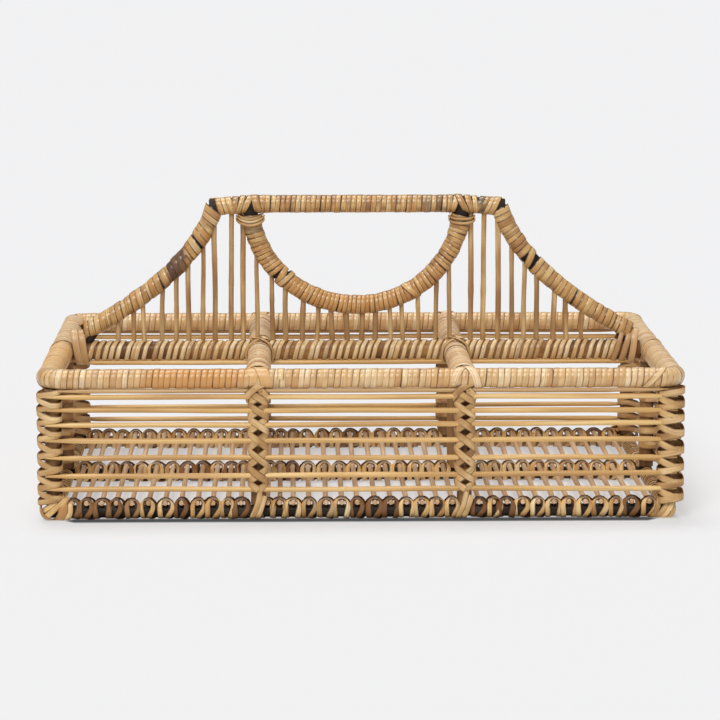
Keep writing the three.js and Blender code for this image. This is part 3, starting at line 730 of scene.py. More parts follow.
# floor rods
floorRods = {
    "left": [-191.9, -182.2, -172.1, -162.5, -152.4, -141.2, -130.1, -119.4, -108.8, -98.6, -88.6, -80.0],
    "middle": [-62.2, -54.4, -45.5, -35.1, -23.6, -13.0, -2.8, 8.9, 19.4, 29.9, 40.3, 50.2, 60.2],
    "right": [78.0, 87.5, 96.6, 107.3, 117.3, 127.7, 137.6, 148.7, 159.2, 169.1, 179.6, 191.2],
}
rodShape = {"sides": 10, "rings": 14, "wobble": 0.5, "uneven": 0.08}
rodEnd = halfSize("floor_left").y
stickSeed = 100
for bay, places in floorRods.items():
    sticks = []
    for place in places:
        stickSeed += 1
        lean = wander(3, stickSeed * 1.7, 1.4)
        line = straight((place, -rodEnd, rodZ), (place + lean, rodEnd, rodZ))
        sticks.append(roundStick(line, rodR, dict(rodShape, seed=stickSeed)))
    finishSticks(sticks, f"floor_rods_{bay}", pinkRod)
print("floor rods laid")


# handle: bow, hand hold and their wraps
handleLook = {"barHalf": 99.6, "droop": 2.0, "level": 74, "bend": (114.0, 147.0), "footZ": 104.4,
              "bowR": 6.3, "bowCore": 5.4, "holdLeft": -74.6, "holdRight": 73.2, "holdR": 6.7, "holdCore": 5.0,
              "stub": ((88, -1.2), (103.0, -2.4)), "stubCore": 5.7, "barTurnSink": 0.35, "holdTurnSink": 0.4,
              "holdWrapTrim": (8.5, 7), "barWrapFrom": {-1: 87.6, 1: 84.2}, "barWrapEnd": (1.2, 0.96)}
barHalf, droop, level, bowR, holdR = (handleLook[key] for key in ("barHalf", "droop", "level", "bowR", "holdR"))
holdDrop = barZ - nodeBox("hand_hold_wrap")[0].z - holdR


def barAt(x):
    # middle of the bar, whose ends droop
    return Vector((x, 0, barZ - droop * max(0, abs(x) - level) / (barHalf - level)))


def slopePoints(way, steps=30):
    # a curved way from the bar down to the foot
    start = barAt(barHalf)
    bend = Vector((handleLook["bend"][0], 0, handleLook["bend"][1]))
    foot = Vector((footX, 0, handleLook["footZ"]))
    points = []
    for i in range(steps + 1):
        t = i / steps
        points.append(start * (1 - t) ** 2 + bend * (2 * t * (1 - t)) + foot * t * t)
    return [Vector((way * p.x, 0, p.z)) for p in points]


def holdPoints(steps=64):
    # half an oval under the bar, its left half a little wider
    points = []
    for i in range(steps + 1):
        angle = math.pi * (1 - i / steps)
        reach = handleLook["holdRight"] if i > steps / 2 else -handleLook["holdLeft"]
        points.append(Vector((reach * math.cos(angle), 0, barZ - holdDrop * math.sin(angle))))
    return points


# the bow's ends turn down into the rail, and short stubs thicken the corners of the bar
bowFeet = [Vector((187.4, 0, 103.6)), Vector((189.3, 0, 98.6)), Vector((189.6, 0, 92.0))]
bow = [*reversed([*slopePoints(1)[:29], *bowFeet]), Vector((level, 0, barZ))]
bow = [Vector((-p.x, 0, p.z)) for p in bow] + list(reversed(bow))
coreShape = {"sides": 20, "rings": 150, "wobble": 0, "uneven": 0.03, "seed": 77, "knots": (0.31, 0.7), "knot": 0.05}
stubs = []
for way in (-1, 1):
    ends = [(way * px, 0, barZ + pz) for px, pz in handleLook["stub"]]
    stubs.append(roundStick(straight(*ends), handleLook["stubCore"], dict(coreShape, rings=6)))
bowStick = roundStick(Line(bow, toFront), handleLook["bowCore"], dict(coreShape, taper=18))
finishSticks([bowStick, *stubs], "bow_pole", darkPole, ("handle_bow",))
holdLine = Line(holdPoints(), toFront)
holdStick = roundStick(holdLine, handleLook["holdCore"], dict(coreShape, rings=90, seed=79))
finishSticks([holdStick], "hold_pole", darkPole, ("hand_hold",))

slopeWrapLook = {"pitch": 4.2, "width": 5.2, "crown": 0.45, "thickness": 0.8, "radius": bowR, "steps": 18,
                 "uneven": 0.2, "jitter": 0.3, "lift": 0.16, "swell": 0.9}
holdWrapLook = dict(slopeWrapLook, radius=holdR, pitch=3.2, width=3.7, swell=0.7)
gripWrapLook = dict(slopeWrapLook, pitch=3.55, width=3.9, crown=0.36, jitter=0.25, swell=0.35)

# the slopes' wraps are open in a few places, where the dark pole shows: place along X and width
openPlaces = {"left": ((-111.8, 2.0), (-138.0, 1.2)),
              "right": ((118.4, 2.7), (123.8, 2.1), (143.5, 1.6), (154.0, 2.1))}
brownBlock = {"place": -126.6, "reach": 6.6, "sharp": 6}
wrapStart, wrapEndShare, loneTurn = 2.6, 0.965, 7
for side, way in shortSides:
    line = Line(slopePoints(way), toFront)
    look = dict(slopeWrapLook, seed=51 + way, lean=1.3 * way, gold=turnPaint(5 + way, -0.1, 0.35))
    if way < 0:
        under = stretch(-107, 3, 0.2, turnPaint(9, -0.2, 0.3, 0.15))
        look["brown"] = stretch(amount=1.0, under=under, **brownBlock)
        look["dark"] = stretch(amount=0.6, **brownBlock)
    else:
        look["brown"] = stretch(114, 4, 0.35, turnPaint(12, -0.2, 0.3, 0.15))
    stops = [wrapStart]
    for place, wide in openPlaces[side]:
        run = line.runNear(place)
        stops += [run - wide / 2, run + wide / 2]
    stops.append(line.length * wrapEndShare)
    extras = []
    for start, end in zip(stops[2::2], stops[3::2]):
        # a single turn between two open places crosses the others at a slant
        alone = dict(look, lean=3.8 * way, radius=bowR + 0.4, width=4.8) if end - start < loneTurn else look
        extras.append(layStrip(helixRoute(line, alone, start, end), alone))
    wrapPole(f"slope_wrap_{side}", line, look, handleCane, (f"handle_wrap_{side}",), extras,
             fromRun=stops[0], toRun=stops[1])


# darker in a band round the left side of the hold, at one height
def holdSoot(point, run):
    return 0.65 * math.exp(-((point.z - 179) / 2.2) ** 2) if point.x < 0 else 0.0


def holdGold(point, run):
    return 0.15 + 0.5 * max(0, (178 - point.z) / 50) + 0.3 * noise.noise(Vector((run * 0.11, 8, 1)))


# the hand hold: three slanted turns lie over its wrap, which is open either side of one turn high on the left
look = dict(holdWrapLook, seed=61, gold=holdGold, dark=holdSoot,
            brown=stretch(54, 3, 0.4, turnPaint(15, -0.35, 0.55, 0.2)))
extras = []
for place, slant, lift in ((-53.2, -1.6, 0.3), (-50.2, 1.2, 0.6), (39, -2.5, 0.35)):
    spot, along = holdLine.at(holdLine.runNear(place))
    reach = holdR - handleLook["holdTurnSink"] + lift
    route = ringRoute(spot, toFront, along.cross(toFront), reach, slant, (-150, 150), 18)
    extras.append(layStrip(route, dict(holdWrapLook, width=4.4, gold=0.35)))
openFrom, openTo = (holdLine.runNear(place) for place in (-56.0, -49.0))
startTrim, endTrim = handleLook["holdWrapTrim"]
extras.append(layStrip(helixRoute(holdLine, look, startTrim, openFrom), look))
wrapPole("hold_wrap", holdLine, look, handleCane, ("hand_hold_wrap",), extras,
         fromRun=openTo, toRun=holdLine.length - endTrim)
gripHalf = halfSize("handle_grip").x
gripLine = Line([Vector((way * gripHalf, 0, barZ)) for way in (-1, 1)], toFront)
look = dict(gripWrapLook, seed=67, gold=turnPaint(14, -0.1, 0.35), brown=turnPaint(19, -0.3, 0.55, 0.2),
            dark=stretch(56.5, 1.6, 0.5, stretch(49.5, 2.6, 0.5)))
wrapPole("grip_wrap", gripLine, look, handleCane, ("handle_grip",))

# joints of bar and hand hold: slanted turns round the bar, then the wrap of the bar's ends, and collars under it
jointLook = {"width": 4.5, "crown": 0.42, "thickness": 0.7, "uneven": 0.12, "lift": 0.12}
barTurns = [
    # place, lean to the right at the top, width, lift, gold, brown
    (-85.6, 0.9, 4.6, 0.0, 0.1, 0.12), (-81.4, 2.0, 4.6, 0.35, 0.0, 0.0), (-77.2, 3.0, 4.8, 0.15, 0.05, 0.0),
    (-69.9, -1.6, 5.4, 0.2, 0.1, 0.0), (-65.6, -0.7, 5.0, 0.0, 0.1, 0.0),
    (67.8, 1.9, 4.8, 0.0, 0.2, 0.0), (73.6, -3.2, 5.2, 0.4, 0.05, 0.0), (78.2, -1.6, 4.6, 0.15, 0.1, 0.0),
    (82.3, -0.6, 4.4, 0.0, 0.1, 0.1),
]
strips = []
for place, lean, width, lift, gold, brown in barTurns:
    route = ringRoute(barAt(place), toFront, up, bowR - handleLook["barTurnSink"] + lift, lean)
    strips.append(layStrip(route, dict(jointLook, width=width, gold=gold, brown=brown)))
endTrim, endDroop = handleLook["barWrapEnd"]
for way, fromX in handleLook["barWrapFrom"].items():
    start = barAt(way * fromX)
    end = Vector((way * (barHalf - endTrim), 0, barZ - droop * endDroop))
    look = dict(gripWrapLook, seed=71 + way, pitch=3.7, width=4.7, swell=0.3, jitter=0.12, gold=0.08, lean=-2.0 * way)
    if way > 0:
        look.update(dark=stretch(87, 2.6, 0.8), swellAt=fullerEnd(17, 1, 12, 0.9))
    strips.append(layStrip(helixRoute(Line([start, end], toFront), look), look))
# each strand of a collar hangs from high at both sides to low in front, and the same behind
collars = ((handleLook["holdLeft"], ((188.6, 186.9), (187.0, 184.6), (185.4, 182.4))),
           (handleLook["holdRight"], ((187.2, 186.6), (185.0, 183.6))))
for centre, strands in collars:
    for k, (highZ, lowZ) in enumerate(strands):
        wide = 8.1 + 0.7 * k
        half = [(wide, 3.0, highZ + 2.5, 1, 0.4, -0.1), (wide, -2.0, highZ + 0.6, 1, -0.4, -0.1),
                (wide * 0.66, -6.0 - 0.3 * k, (highZ + lowZ) / 2, 0.6, -0.8, -0.15)]
        keys = [*mirrored(half, -1, 1), (0, -7.4 - 0.3 * k, lowZ, 0, -1, -0.2), *reversed(half)]
        for way in (1, -1):
            route = smoothRoute(mirrored(keys, 1, way, centre), 5)
            strips.append(layStrip(route, dict(jointLook, width=2.3, gold=0.2 * k, crown=0.5)))
finishStrips(strips, "handle_joint_strips", jointLook, handleCane)
print("handle wrapped")


# spindles between rail and handle
spindlePlaces = {
    "left": [-167.5, -156.6, -149.1, -137.0, -126.9, -118.0, -108.0, -99.5, -88.2, -79.9, -69.9],
    "middle": [-58.7, -50.1, -38.5, -28.3, -17.4, -7.1, 3.2, 12.5, 23.8, 32.1, 43.5, 54.9],
    "right": [64.9, 79.5, 88.3, 98.8, 108.2, 117.0, 125.8, 137.6, 146.8, 157.3],
}
spindleShape = {"sides": 10, "rings": 12, "wobble": 0.7, "uneven": 0.1, "bendRate": 0.02, "knot": 0.14}
spindleSet = {"radii": (1.55, 2.0), "leans": (-1.3, 1.3), "sink": 3.2, "footSink": 1.5}
barPoints = [barAt(x) for x in (-barHalf, -level, level, barHalf)]


def handleUnder(x):
    # height of the underside of bow or hold over a place on the rail
    heights = []
    for points, thick in ((barPoints, bowR), (slopePoints(1 if x > 0 else -1), bowR), (holdPoints(), holdR)):
        for before, after in zip(points, points[1:]):
            for share in (0, 0.5):
                point = before.lerp(after, share)
                reach = thick ** 2 - (x - point.x) ** 2
                if reach > 0:
                    heights.append(point.z - math.sqrt(reach))
    return min(heights)


foot = railZ + railR - spindleSet["footSink"]
spindleChance = random.Random(29)
for bay, places in spindlePlaces.items():
    sticks = []
    for place in places:
        stickSeed += 1
        head = place + spindleChance.uniform(*spindleSet["leans"])
        radius = spindleChance.uniform(*spindleSet["radii"])
        top = max(handleUnder(head - 1.6), handleUnder(head + 1.6)) + spindleSet["sink"]
        shape = dict(spindleShape, seed=stickSeed, brown=spindleChance.uniform(0, 0.6),
                     knots=(spindleChance.uniform(0.15, 0.9),))
        sticks.append(roundStick(straight((place, 0, foot), (head, 0, top)), radius, shape))
    finishSticks(sticks, f"spindle_sticks_{bay}", brownSpindle)
print("spindles set")


# lashing of the floor rods: over each rod, down both sides of it and under the pole
tieLook = {"width": 3.75, "crown": 0.5, "thickness": 0.7, "uneven": 0.14, "lift": 0.05, "hug": 4.75, "apex": 3.4}
rodTop = floorTop - baseZ


def tieRoute(left, right, foot):
    # the left leg comes up steep, the right one goes down leaning back to the foot
    hug, apex = tieLook["hug"], tieLook["apex"]
    front = [
        (left * 0.9, -0.6, -hug + 0.02, 0, -0.1, -1),
        (left, -hug * 0.78, -hug * 0.68, 0, -0.75, -0.65),
        (left * 1.08, -hug - 0.35, 0.6, -0.1, -1, 0),
        (left * 1.12, -hug - 0.4, hug * 0.85, -0.4, -0.9, 0.1),
        (left * 0.78, -hug * 0.88, rodTop * 0.9, -0.85, -0.35, 0.4),
        (0.1, -apex * 0.8, rodTop + 0.4, 0, -0.3, 0.95),
        (right * 0.78, -hug * 0.9, rodTop * 0.88, 0.85, -0.3, 0.45),
        (right * 1.06, -hug - 0.5, hug * 0.75, 0.35, -0.95, 0.1),
        (right * 0.8 + foot * 0.2, -hug - 0.3, 0.4, 0, -1, 0),
        (right * 0.2 + foot * 0.8, -hug * 0.78, -hug * 0.68, 0, -0.75, -0.65),
        (foot, -0.6, -hug + 0.02, 0, -0.1, -1),
    ]
    return smoothRoute(front + mirrored(front, -1, -1), 3)


def copyStrip(strip, transform, stains, chance):
    # a copy with a mesh of its own, its own stretch of cane and its own stain
    copy = strip.copy()
    copy.data = strip.data.copy()
    bpy.context.collection.objects.link(copy)
    copy.data.transform(transform)
    start = chance.uniform(0, caneLength)
    for loop in copy.data.uv_layers.active.data:
        loop.uv.y += start
    for name, value in stains.items():
        for point in copy.data.attributes[name].data:
            point.value = value
    return copy


def tieShade(point, run):
    # the strip darkens where it lies behind the crown of its arch
    high = max(0.0, min(1.0, (point.z - rodTop + 2.2) / 2.2))
    return 0.7 * high if abs(point.y) < tieLook["apex"] * 1.15 else 0.0


ties = [layStrip(tieRoute(*legs), dict(tieLook, start=0, dark=tieShade))
        for legs in ((-3.9, 4.1, 1.7), (-4.2, 4.2, 3.4), (-3.6, 4.3, 0.6), (-4.4, 3.6, -0.6))]
tieRowLook = dict(tieLook, thickness=1.35, rise=0.2, darkEnd=-150, darkShare=0.45, turn=0.16, tilt=0.06, shift=0.4,
                  wide=(0.86, 1.08), tall=(0.96, 1.04), trace=0.12, golden=0.35)
tieChance = random.Random(17)
tieRows = [
    # row, place along Y, share of stained ties, solids that it stands for
    ("front", -postY, 0.36, "base_lashing_front_{}"), ("centre", 0.0, 0.5, "floor_{}"),
    ("back", postY, 0.25, "base_lashing_back_{}"),
]
for row, y, stained, nodeName in tieRows:
    for bay, places in floorRods.items():
        strips = []
        for place in places:
            turn, tilt = (Matrix.Rotation(tieChance.uniform(-tieRowLook[key], tieRowLook[key]), 4, axis)
                          for key, axis in (("turn", "Z"), ("tilt", "Y")))
            wide, tall = (tieChance.uniform(*tieRowLook[key]) for key in ("wide", "tall"))
            size = Matrix.Diagonal((wide, 1, tall, 1))
            shift = tieChance.uniform(-tieRowLook["shift"], tieRowLook["shift"])
            spot = Vector((place + shift, y, baseZ + tieRowLook["rise"]))
            tint = tieChance.random() / stained
            # the left end of the front row is brown all over
            brownEnd = row == "front" and place < tieRowLook["darkEnd"]
            if brownEnd:
                tint *= tieRowLook["darkShare"]
            brown = (1.0 if tint < 0.35 else 0.55 if tint < 0.7 else 0.2 if tint < 1
                     else tieChance.uniform(0, tieRowLook["trace"]))
            if brownEnd:
                brown = 0.6 + 0.4 * tint
            stains = {"brown": brown, "gold": tieChance.uniform(0, tieRowLook["golden"]) * (1 - 0.7 * brown)}
            put = Matrix.Translation(spot * mm) @ (turn @ tilt) @ size
            strips.append(copyStrip(tieChance.choice(ties), put, stains, tieChance))
        finishStrips(strips, f"rod_ties_{row}_{bay}", tieRowLook, tieCane, (nodeName.format(bay),))
for tie in ties:
    bpy.data.objects.remove(tie)

# the side base poles have a plain winding
sideBaseLook = dict(tieLook, pitch=6.4, width=4.2, radius=baseZ - 0.05, jitter=0.25, steps=16, swell=0.18)
for side, way in shortSides:
    for half, toward in longSides:
        name = f"base_lashing_{side}_{half}"
        line = Line([Vector((way * postX, end.y, baseZ)) for end in nodeBox(name)], up)
        look = dict(sideBaseLook, seed=71 + way + 2 * toward, brown=turnPaint(3 + way, 0, 0.5))
        strip = layStrip(helixRoute(line, look), look)
        finishStrips([strip], f"side_base_winding_{side}_{half}", look, tieCane, (name,))

# strips round the four corners of the base. In the frame of a left front corner: x out from the post, y forward
leftBands = [
    # keys (out, forward, height, and the way it faces), width, brown, gold
    ([(-9.5, 2.0, 15.5, 0.2, 1, 0.3), (-6.5, 6.2, 12.5, 0, 1, 0), (-1.0, 6.2, 8.0, 0, 1, 0),
      (3.4, 5.6, 4.0, 0.3, 1, -0.2), (5.4, 2.0, 2.2, 0.9, 0.2, -0.5), (5, -4.0, 2.0, 0.8, -0.3, -0.5)], 4.2, 0.0, 0.1),
    ([(-6.5, 3.0, 17.2, 0.2, 1, 0.3), (-2.5, 6.4, 14.0, 0, 1, 0.1), (2.2, 6.0, 9.8, 0.1, 1, 0),
      (6.2, 3.5, 6.6, 0.8, 0.6, 0), (6.6, -2.0, 5.0, 1, 0, 0)], 4.0, 0.0, 0.2),
    ([(5.0, -3.0, 14.5, 1, -0.2, 0.2), (7.6, 1.0, 12.0, 1, 0.3, 0), (7.9, 3.2, 7.0, 0.8, 0.6, 0),
      (5.6, 4.6, 2.6, 0.5, 0.6, -0.6), (1.5, 3.6, 0.8, 0, 0.3, -1), (-3.0, 1.5, 0.6, 0, 0, -1)], 3.6, 0.0, 0.0),
    ([(-4.6, -2.0, 12.6, 0, -0.4, 1), (-6.2, 2.6, 13.4, 0, 0.6, 0.8), (-6.9, 6.4, 10.4, 0, 1, 0.2),
      (-6.4, 6.9, 5.4, 0, 1, 0), (-4.2, 5.0, 1.4, 0, 0.7, -0.7), (-3.0, 0.0, 0.6, 0, 0, -1)], 6.2, 0.55, 0.5),
    ([(-9.6, -2.0, 13.0, 0, -0.4, 1), (-10.6, 2.6, 13.6, 0, 0.6, 0.8), (-11.6, 6.2, 10.4, 0, 1, 0.2),
      (-11.4, 6.7, 5.4, 0, 1, 0), (-9.2, 5.0, 1.4, 0, 0.7, -0.7), (-8.6, 0.0, 0.6, 0, 0, -1)], 3.9, 0.2, 0.1),
]
rightBands = [
    ([(-7.5, -1.0, 14.6, 0, -0.4, 1), (-6.4, 3.6, 14.6, 0, 0.7, 0.7), (-7.0, 6.2, 10.4, 0, 1, 0.1),
      (-8.8, 6.2, 5.4, 0, 1, 0), (-11.2, 4.6, 1.4, 0, 0.7, -0.7), (-12.0, 0.0, 0.6, 0, 0, -1)], 3.8, 0.5, 0.0),
    ([(-2.5, -1.0, 15.2, 0.2, -0.4, 1), (-1.2, 4.2, 15.0, 0, 0.8, 0.6), (-1.8, 6.4, 10.4, 0, 1, 0.1),
      (-4.6, 6.4, 5.4, 0, 1, 0), (-8.2, 4.6, 1.4, 0, 0.7, -0.7), (-9.0, 0.0, 0.6, 0, 0, -1)], 3.8, 0.3, 0.0),
    ([(3.5, -1.0, 15.4, 0.7, -0.2, 0.8), (4.0, 3.6, 14.4, 0.4, 0.8, 0.4), (2.4, 6.2, 9.6, 0.2, 1, 0),
      (-1.2, 6.3, 4.6, 0, 1, -0.1), (-4.6, 4.4, 1.3, 0, 0.7, -0.7), (-6.0, 0.0, 0.6, 0, 0, -1)], 4.4, 0.05, 0.0),
    ([(6.8, -3.5, 13.4, 1, -0.2, 0.3), (6.6, 1.6, 10.6, 0.9, 0.5, 0), (4.6, 5.4, 6.2, 0.5, 0.9, 0),
      (1.6, 5.2, 2.2, 0.2, 0.7, -0.6), (-1.5, 2.0, 0.7, 0, 0.2, -1), (-3.0, -2.0, 0.6, 0, 0, -1)], 4.2, 0.1, 0.0),
    ([(7.0, -8.0, 12.4, 1, 0, 0.3), (7.6, -3.0, 8.6, 1, 0, 0), (6.4, 1.4, 4.6, 0.9, 0.3, -0.2),
      (3.8, 2.6, 1.6, 0.4, 0.4, -0.8), (0.0, 1.0, 0.6, 0, 0, -1)], 3.8, 0.2, 0.0),
]
rightCloser = 0.62  # the strips of a right corner lie closer to the post
strips = []
for xWay in (-1, 1):
    for yWay in (-1, 1):
        # a corner looks alike from its own long side
        bands, closer = (leftBands, 1) if xWay * yWay > 0 else (rightBands, rightCloser)
        for keys, width, brown, gold in bands:
            keys = [(px * closer if px > 0 else px, *others) for px, *others in keys]
            route = smoothRoute(mirrored(keys, xWay, yWay, xWay * postX, yWay * postY), 5)
            strips.append(layStrip(route, dict(tieLook, width=width, brown=brown, gold=gold)))
finishStrips(strips, "base_corner_strips", tieLook, tieCane)
print("base lashed")


# crossed lashing of the posts
braidLook = {"width": 4.8, "crown": 0.3, "thickness": 0.6, "uneven": 0.16, "lift": 0.12, "frontShare": 0.15,
             "rises": (0.48, 0.48), "raiseShare": 0.1}
braidRaise = 0.6  # of the strand that lies on top


def roundedLoop(low, high, corner):
    # outline round a post and its reeds, by the share of the way round from the +v side, u growing at the start
    centres = [(high[0] - corner, high[1] - corner), (high[0] - corner, low[1] + corner),
               (low[0] + corner, low[1] + corner), (low[0] + corner, high[1] - corner)]
    first = (Vector(((low[0] + high[0]) / 2, high[1])), Vector((0, 1)))
    points = [first]
    for i, (u, v) in enumerate(centres):
        for k in range(9):
            angle = math.pi / 2 - (i + k / 8) * math.pi / 2
            points.append((Vector((u + corner * math.cos(angle), v + corner * math.sin(angle))),
                           Vector((math.cos(angle), math.sin(angle)))))
    points.append(first)
    runs = [0.0]
    for (before, _), (after, _) in zip(points, points[1:]):
        runs.append(runs[-1] + (after - before).length)

    def loopAt(share):
        run = (share % 1.0) * runs[-1]
        i = next(i for i in range(len(runs) - 1) if runs[i + 1] >= run)
        t = (run - runs[i]) / max(1e-9, runs[i + 1] - runs[i])
        return points[i][0].lerp(points[i + 1][0], t), points[i][1].lerp(points[i + 1][1], t).normalized()
    return loopAt


def braidRoute(loop, heights, strand, look, facing=0.0, steps=26, raised=0.0):
    # one of two mirrored strands that cross on the facing side at each reed and pass round the far side
    first, last = look["rises"]
    share = look["frontShare"]
    route = []
    for i, z in enumerate(heights):
        isLast = i + 1 == len(heights)
        pitch = z - heights[i - 1] if isLast else heights[i + 1] - z
        for k in range(steps // 2 if isLast else steps):
            turn = k / steps
            if turn < share:
                rise = first * turn / share
            elif turn < 1 - share:
                rise = first + (1 - first - last) * (turn - share) / (1 - 2 * share)
            else:
                rise = 1 - last + last * (turn - 1 + share) / share
            spot, normal = loop(facing + strand * turn)
            near = max(0.0, 1 - min(turn, 1 - turn) / look["raiseShare"])
            spot = spot + normal * (raised * near * near * (3 - 2 * near))
            route.append((Vector((spot.x, spot.y, z + rise * pitch)), Vector((normal.x, normal.y, 0))))
    return route


def placeRoute(route, centre, uAxis, vAxis):
    placed = []
    for point, out in route:
        spot = centre + uAxis * point.x + vAxis * point.y
        placed.append((Vector((spot.x, spot.y, point.z)),
                       (uAxis * out.x + vAxis * out.y + Vector((0, 0, out.z))).normalized()))
    return placed


# spots of real stain, and painted shade that browns the lashing on the inside of the wall
postStainAndShade = {"rate": 0.06, "least": 0.25, "change": 1.7, "inside": 0.2, "insideShadeFrom": 3, "insideShadeReach": 12}


def postPaint(seed, amount, centre, outward):
    # stained in spots, and browner all over on the inside of the wall as painted shade
    def paint(point, run):
        depth = postStainAndShade["insideShadeFrom"] - (point - centre).dot(outward)
        inside = max(0.0, min(1.0, depth / postStainAndShade["insideShadeReach"]))
        spots = noise.noise(Vector((run * postStainAndShade["rate"], seed, 0.3)))
        tint = amount * (postStainAndShade["least"] + postStainAndShade["change"] * spots) + postStainAndShade["inside"] * inside
        return max(0.0, min(1.0, tint))
    return paint


# a wide arch over the top reed, a second strip crossing under it, and two legs down to the base
archKeys = [(-7.6, 2.0, 80.5, -1, 0.3, 0), (-8.0, 7.6, 82.6, -0.5, 0.9, 0), (-4.6, 9.7, 87.0, 0, 1, 0.1),
            (0.6, 9.2, 90.6, 0.1, 0.9, 0.4), (5.4, 6.6, 91.6, 0.3, 0.7, 0.6), (7.6, 2.0, 90.4, 0.8, 0.1, 0.6)]
underKeys = [(6.8, 3.0, 80.0, 1, 0.3, 0), (7.2, 7.4, 82.2, 0.5, 0.9, 0), (3.8, 8.9, 86.2, 0, 1, 0),
             (-0.4, 8.2, 89.6, 0, 1, 0.3), (-4.4, 5.4, 91.0, -0.3, 0.7, 0.6)]
postExtras = [(archKeys, 4.6, 0.0), (underKeys, 4.2, 0.0)]
for u, lean, top in ((1.2, -5.4, 21.0), (4.4, -4.8, 17.0)):
    legKeys = [(u, 8.4, top, 0, 1, 0), (u + 0.3 * lean, 7.8, 12.0, 0, 0.95, 0.2),
               (u + 0.7 * lean, 6.7, 6.0, 0, 1, 0), (u + lean, 5.8, 2.4, 0, 0.9, -0.4),
               (u + lean, 3.0, 0.85, 0, 0.35, -0.95), (u + lean, -1.5, 0.8, 0, -0.1, -1)]
    postExtras.append((legKeys, 3.7, 0.1))
middleLoop = roundedLoop((-6.7, -5.2), (6.7, 9.1), 4.6)
braidHeights = sorted(reedHeights)
for side, way in longSides:
    uAxis, vAxis = Vector((-way, 0, 0)), Vector((0, way, 0))
    strips = []
    for end in (-1, 1):
        centre = Vector((end * dividerX, way * postY, 0))
        paint = postPaint(3 + end + way, 0.4, centre, vAxis)
        for strand, raised in ((1, 0.0), (-1, braidRaise)):
            route = braidRoute(middleLoop, braidHeights, strand, braidLook, raised=raised)
            strips.append(layStrip(placeRoute(route, centre, uAxis, vAxis), dict(braidLook, brown=paint)))
        for keys, width, brown in postExtras:
            route = placeRoute(smoothRoute(keys, 5), centre, uAxis, vAxis)
            strips.append(layStrip(route, dict(braidLook, brown=brown, width=width)))
    finishStrips(strips, f"crossed_lashing_{side}", braidLook, tanCane, (f"wall_{side}",))
print("middle posts lashed")

# corner posts, and the middle posts of the short sides
cornerLook = dict(braidLook, frontShare=0.27, crown=0.5)
cornerLoops = {True: roundedLoop((-6.2, -5.6), (9.3, 7.5), 4.2), False: roundedLoop((-7.4, -5.6), (9.3, 9.2), 4.6)}
sideLoop = roundedLoop((-6.6, -5.2), (6.6, 9.0), 5.2)
cornerHeights = [12.0] + [height + 0.3 for height in braidHeights]
sideHeights = [12.4] + braidHeights
for side, way in shortSides:
    strips = []
    for toward in (-1, 1):
        centre = Vector((way * postX, toward * postY, 0))
        uAxis, vAxis = Vector((way, 0, 0)), Vector((0, toward, 0))
        # the crossings lie on the left of each post, seen from its own long side
        same = way * toward > 0
        paint = postPaint(13 + way + 2 * toward, 0.3, centre, vAxis)
        for strand in (1, -1):
            # the strand that comes back over the long side drops steeply and lies on top
            steep = strand == (1 if same else -1)
            look = dict(cornerLook, rises=(0.3, 0.62) if steep else (0.22, 0.3), brown=paint,
                        width=4.1 if same else 4.9)
            route = braidRoute(cornerLoops[same], cornerHeights, strand, look, facing=0.25 if same else 0.75,
                               raised=braidRaise if steep else 0.0)
            strips.append(layStrip(placeRoute(route, centre, uAxis, vAxis), look))
    centre = Vector((way * postX, 0, 0))
    for strand, raised in ((1, 0.0), (-1, braidRaise)):
        route = braidRoute(sideLoop, sideHeights, strand, braidLook, raised=raised)
        route = placeRoute(route, centre, Vector((0, -way, 0)), Vector((way, 0, 0)))
        strips.append(layStrip(route, dict(braidLook, brown=postPaint(29 + way, 0.5, centre, xAxis * way))))
    finishStrips(strips, f"post_lashing_{side}", cornerLook, tanCane, (f"wall_{side}",))
print("corner posts lashed")


# winding of the rail: two slanted turns for each spindle, and a thin reed under it
railLook = {"width": 3.45, "crown": 0.45, "thickness": 0.55, "uneven": 0.12, "lift": 0.12, "slant": 1.7,
            "reach": railR + 0.35, "hook": 1.8, "hookFrom": 0.35, "offsets": (-4.3, 0.3), "shift": 0.6,
            "brownShare": 0.15, "brown": 0.5, "golden": 0.2}
endTurns = {"left": [-186.0, -180.6, -176.2], "middle": [], "right": [164.0, 168.5, 173.5, 178.0]}
route = []
for point, out in ringRoute(railMiddle, toFront, up, railLook["reach"], railLook["slant"], steps=26):
    # over the top each turn hooks to the right, round the foot of its spindle
    high = max(0.0, out.z - railLook["hookFrom"]) / (1 - railLook["hookFrom"])
    route.append((point + xAxis * (railLook["hook"] * high * high), out))
ring = layStrip(route, dict(railLook, start=0, brown=0))
railChance = random.Random(5)
for bay, places in spindlePlaces.items():
    strips = []
    for place in [place + offset for place in places for offset in railLook["offsets"]] + endTurns[bay]:
        shift = railChance.uniform(-railLook["shift"], railLook["shift"])
        brown = railLook["brown"] if railChance.random() < railLook["brownShare"] else 0.0
        stains = {"brown": brown, "gold": railChance.uniform(0, railLook["golden"])}
        put = Matrix.Translation(Vector((place + shift, 0, 0)) * mm)
        strips.append(copyStrip(ring, put, stains, railChance))
    finishStrips(strips, f"rail_winding_{bay}", railLook, railCane, (f"spindles_{bay}",))
bpy.data.objects.remove(ring)
underLine = straight((-193, -3.4, 85.7), (193, -3.4, 85.7))
underReed = roundStick(underLine, 1.7, dict(reedShape, seed=91, rings=40, wobble=0.3))
finishSticks([underReed], "rail_under_reed", goldenReed)
print("rail wound")


# strips where the dividers and the rail meet the rims and each other
bandLook = {"width": 5.0, "crown": 0.42, "thickness": 0.6, "uneven": 0.12, "lift": 0.12}
strips = []


def addBand(route, **look):
    strips.append(layStrip(route, dict(bandLook, **look)))


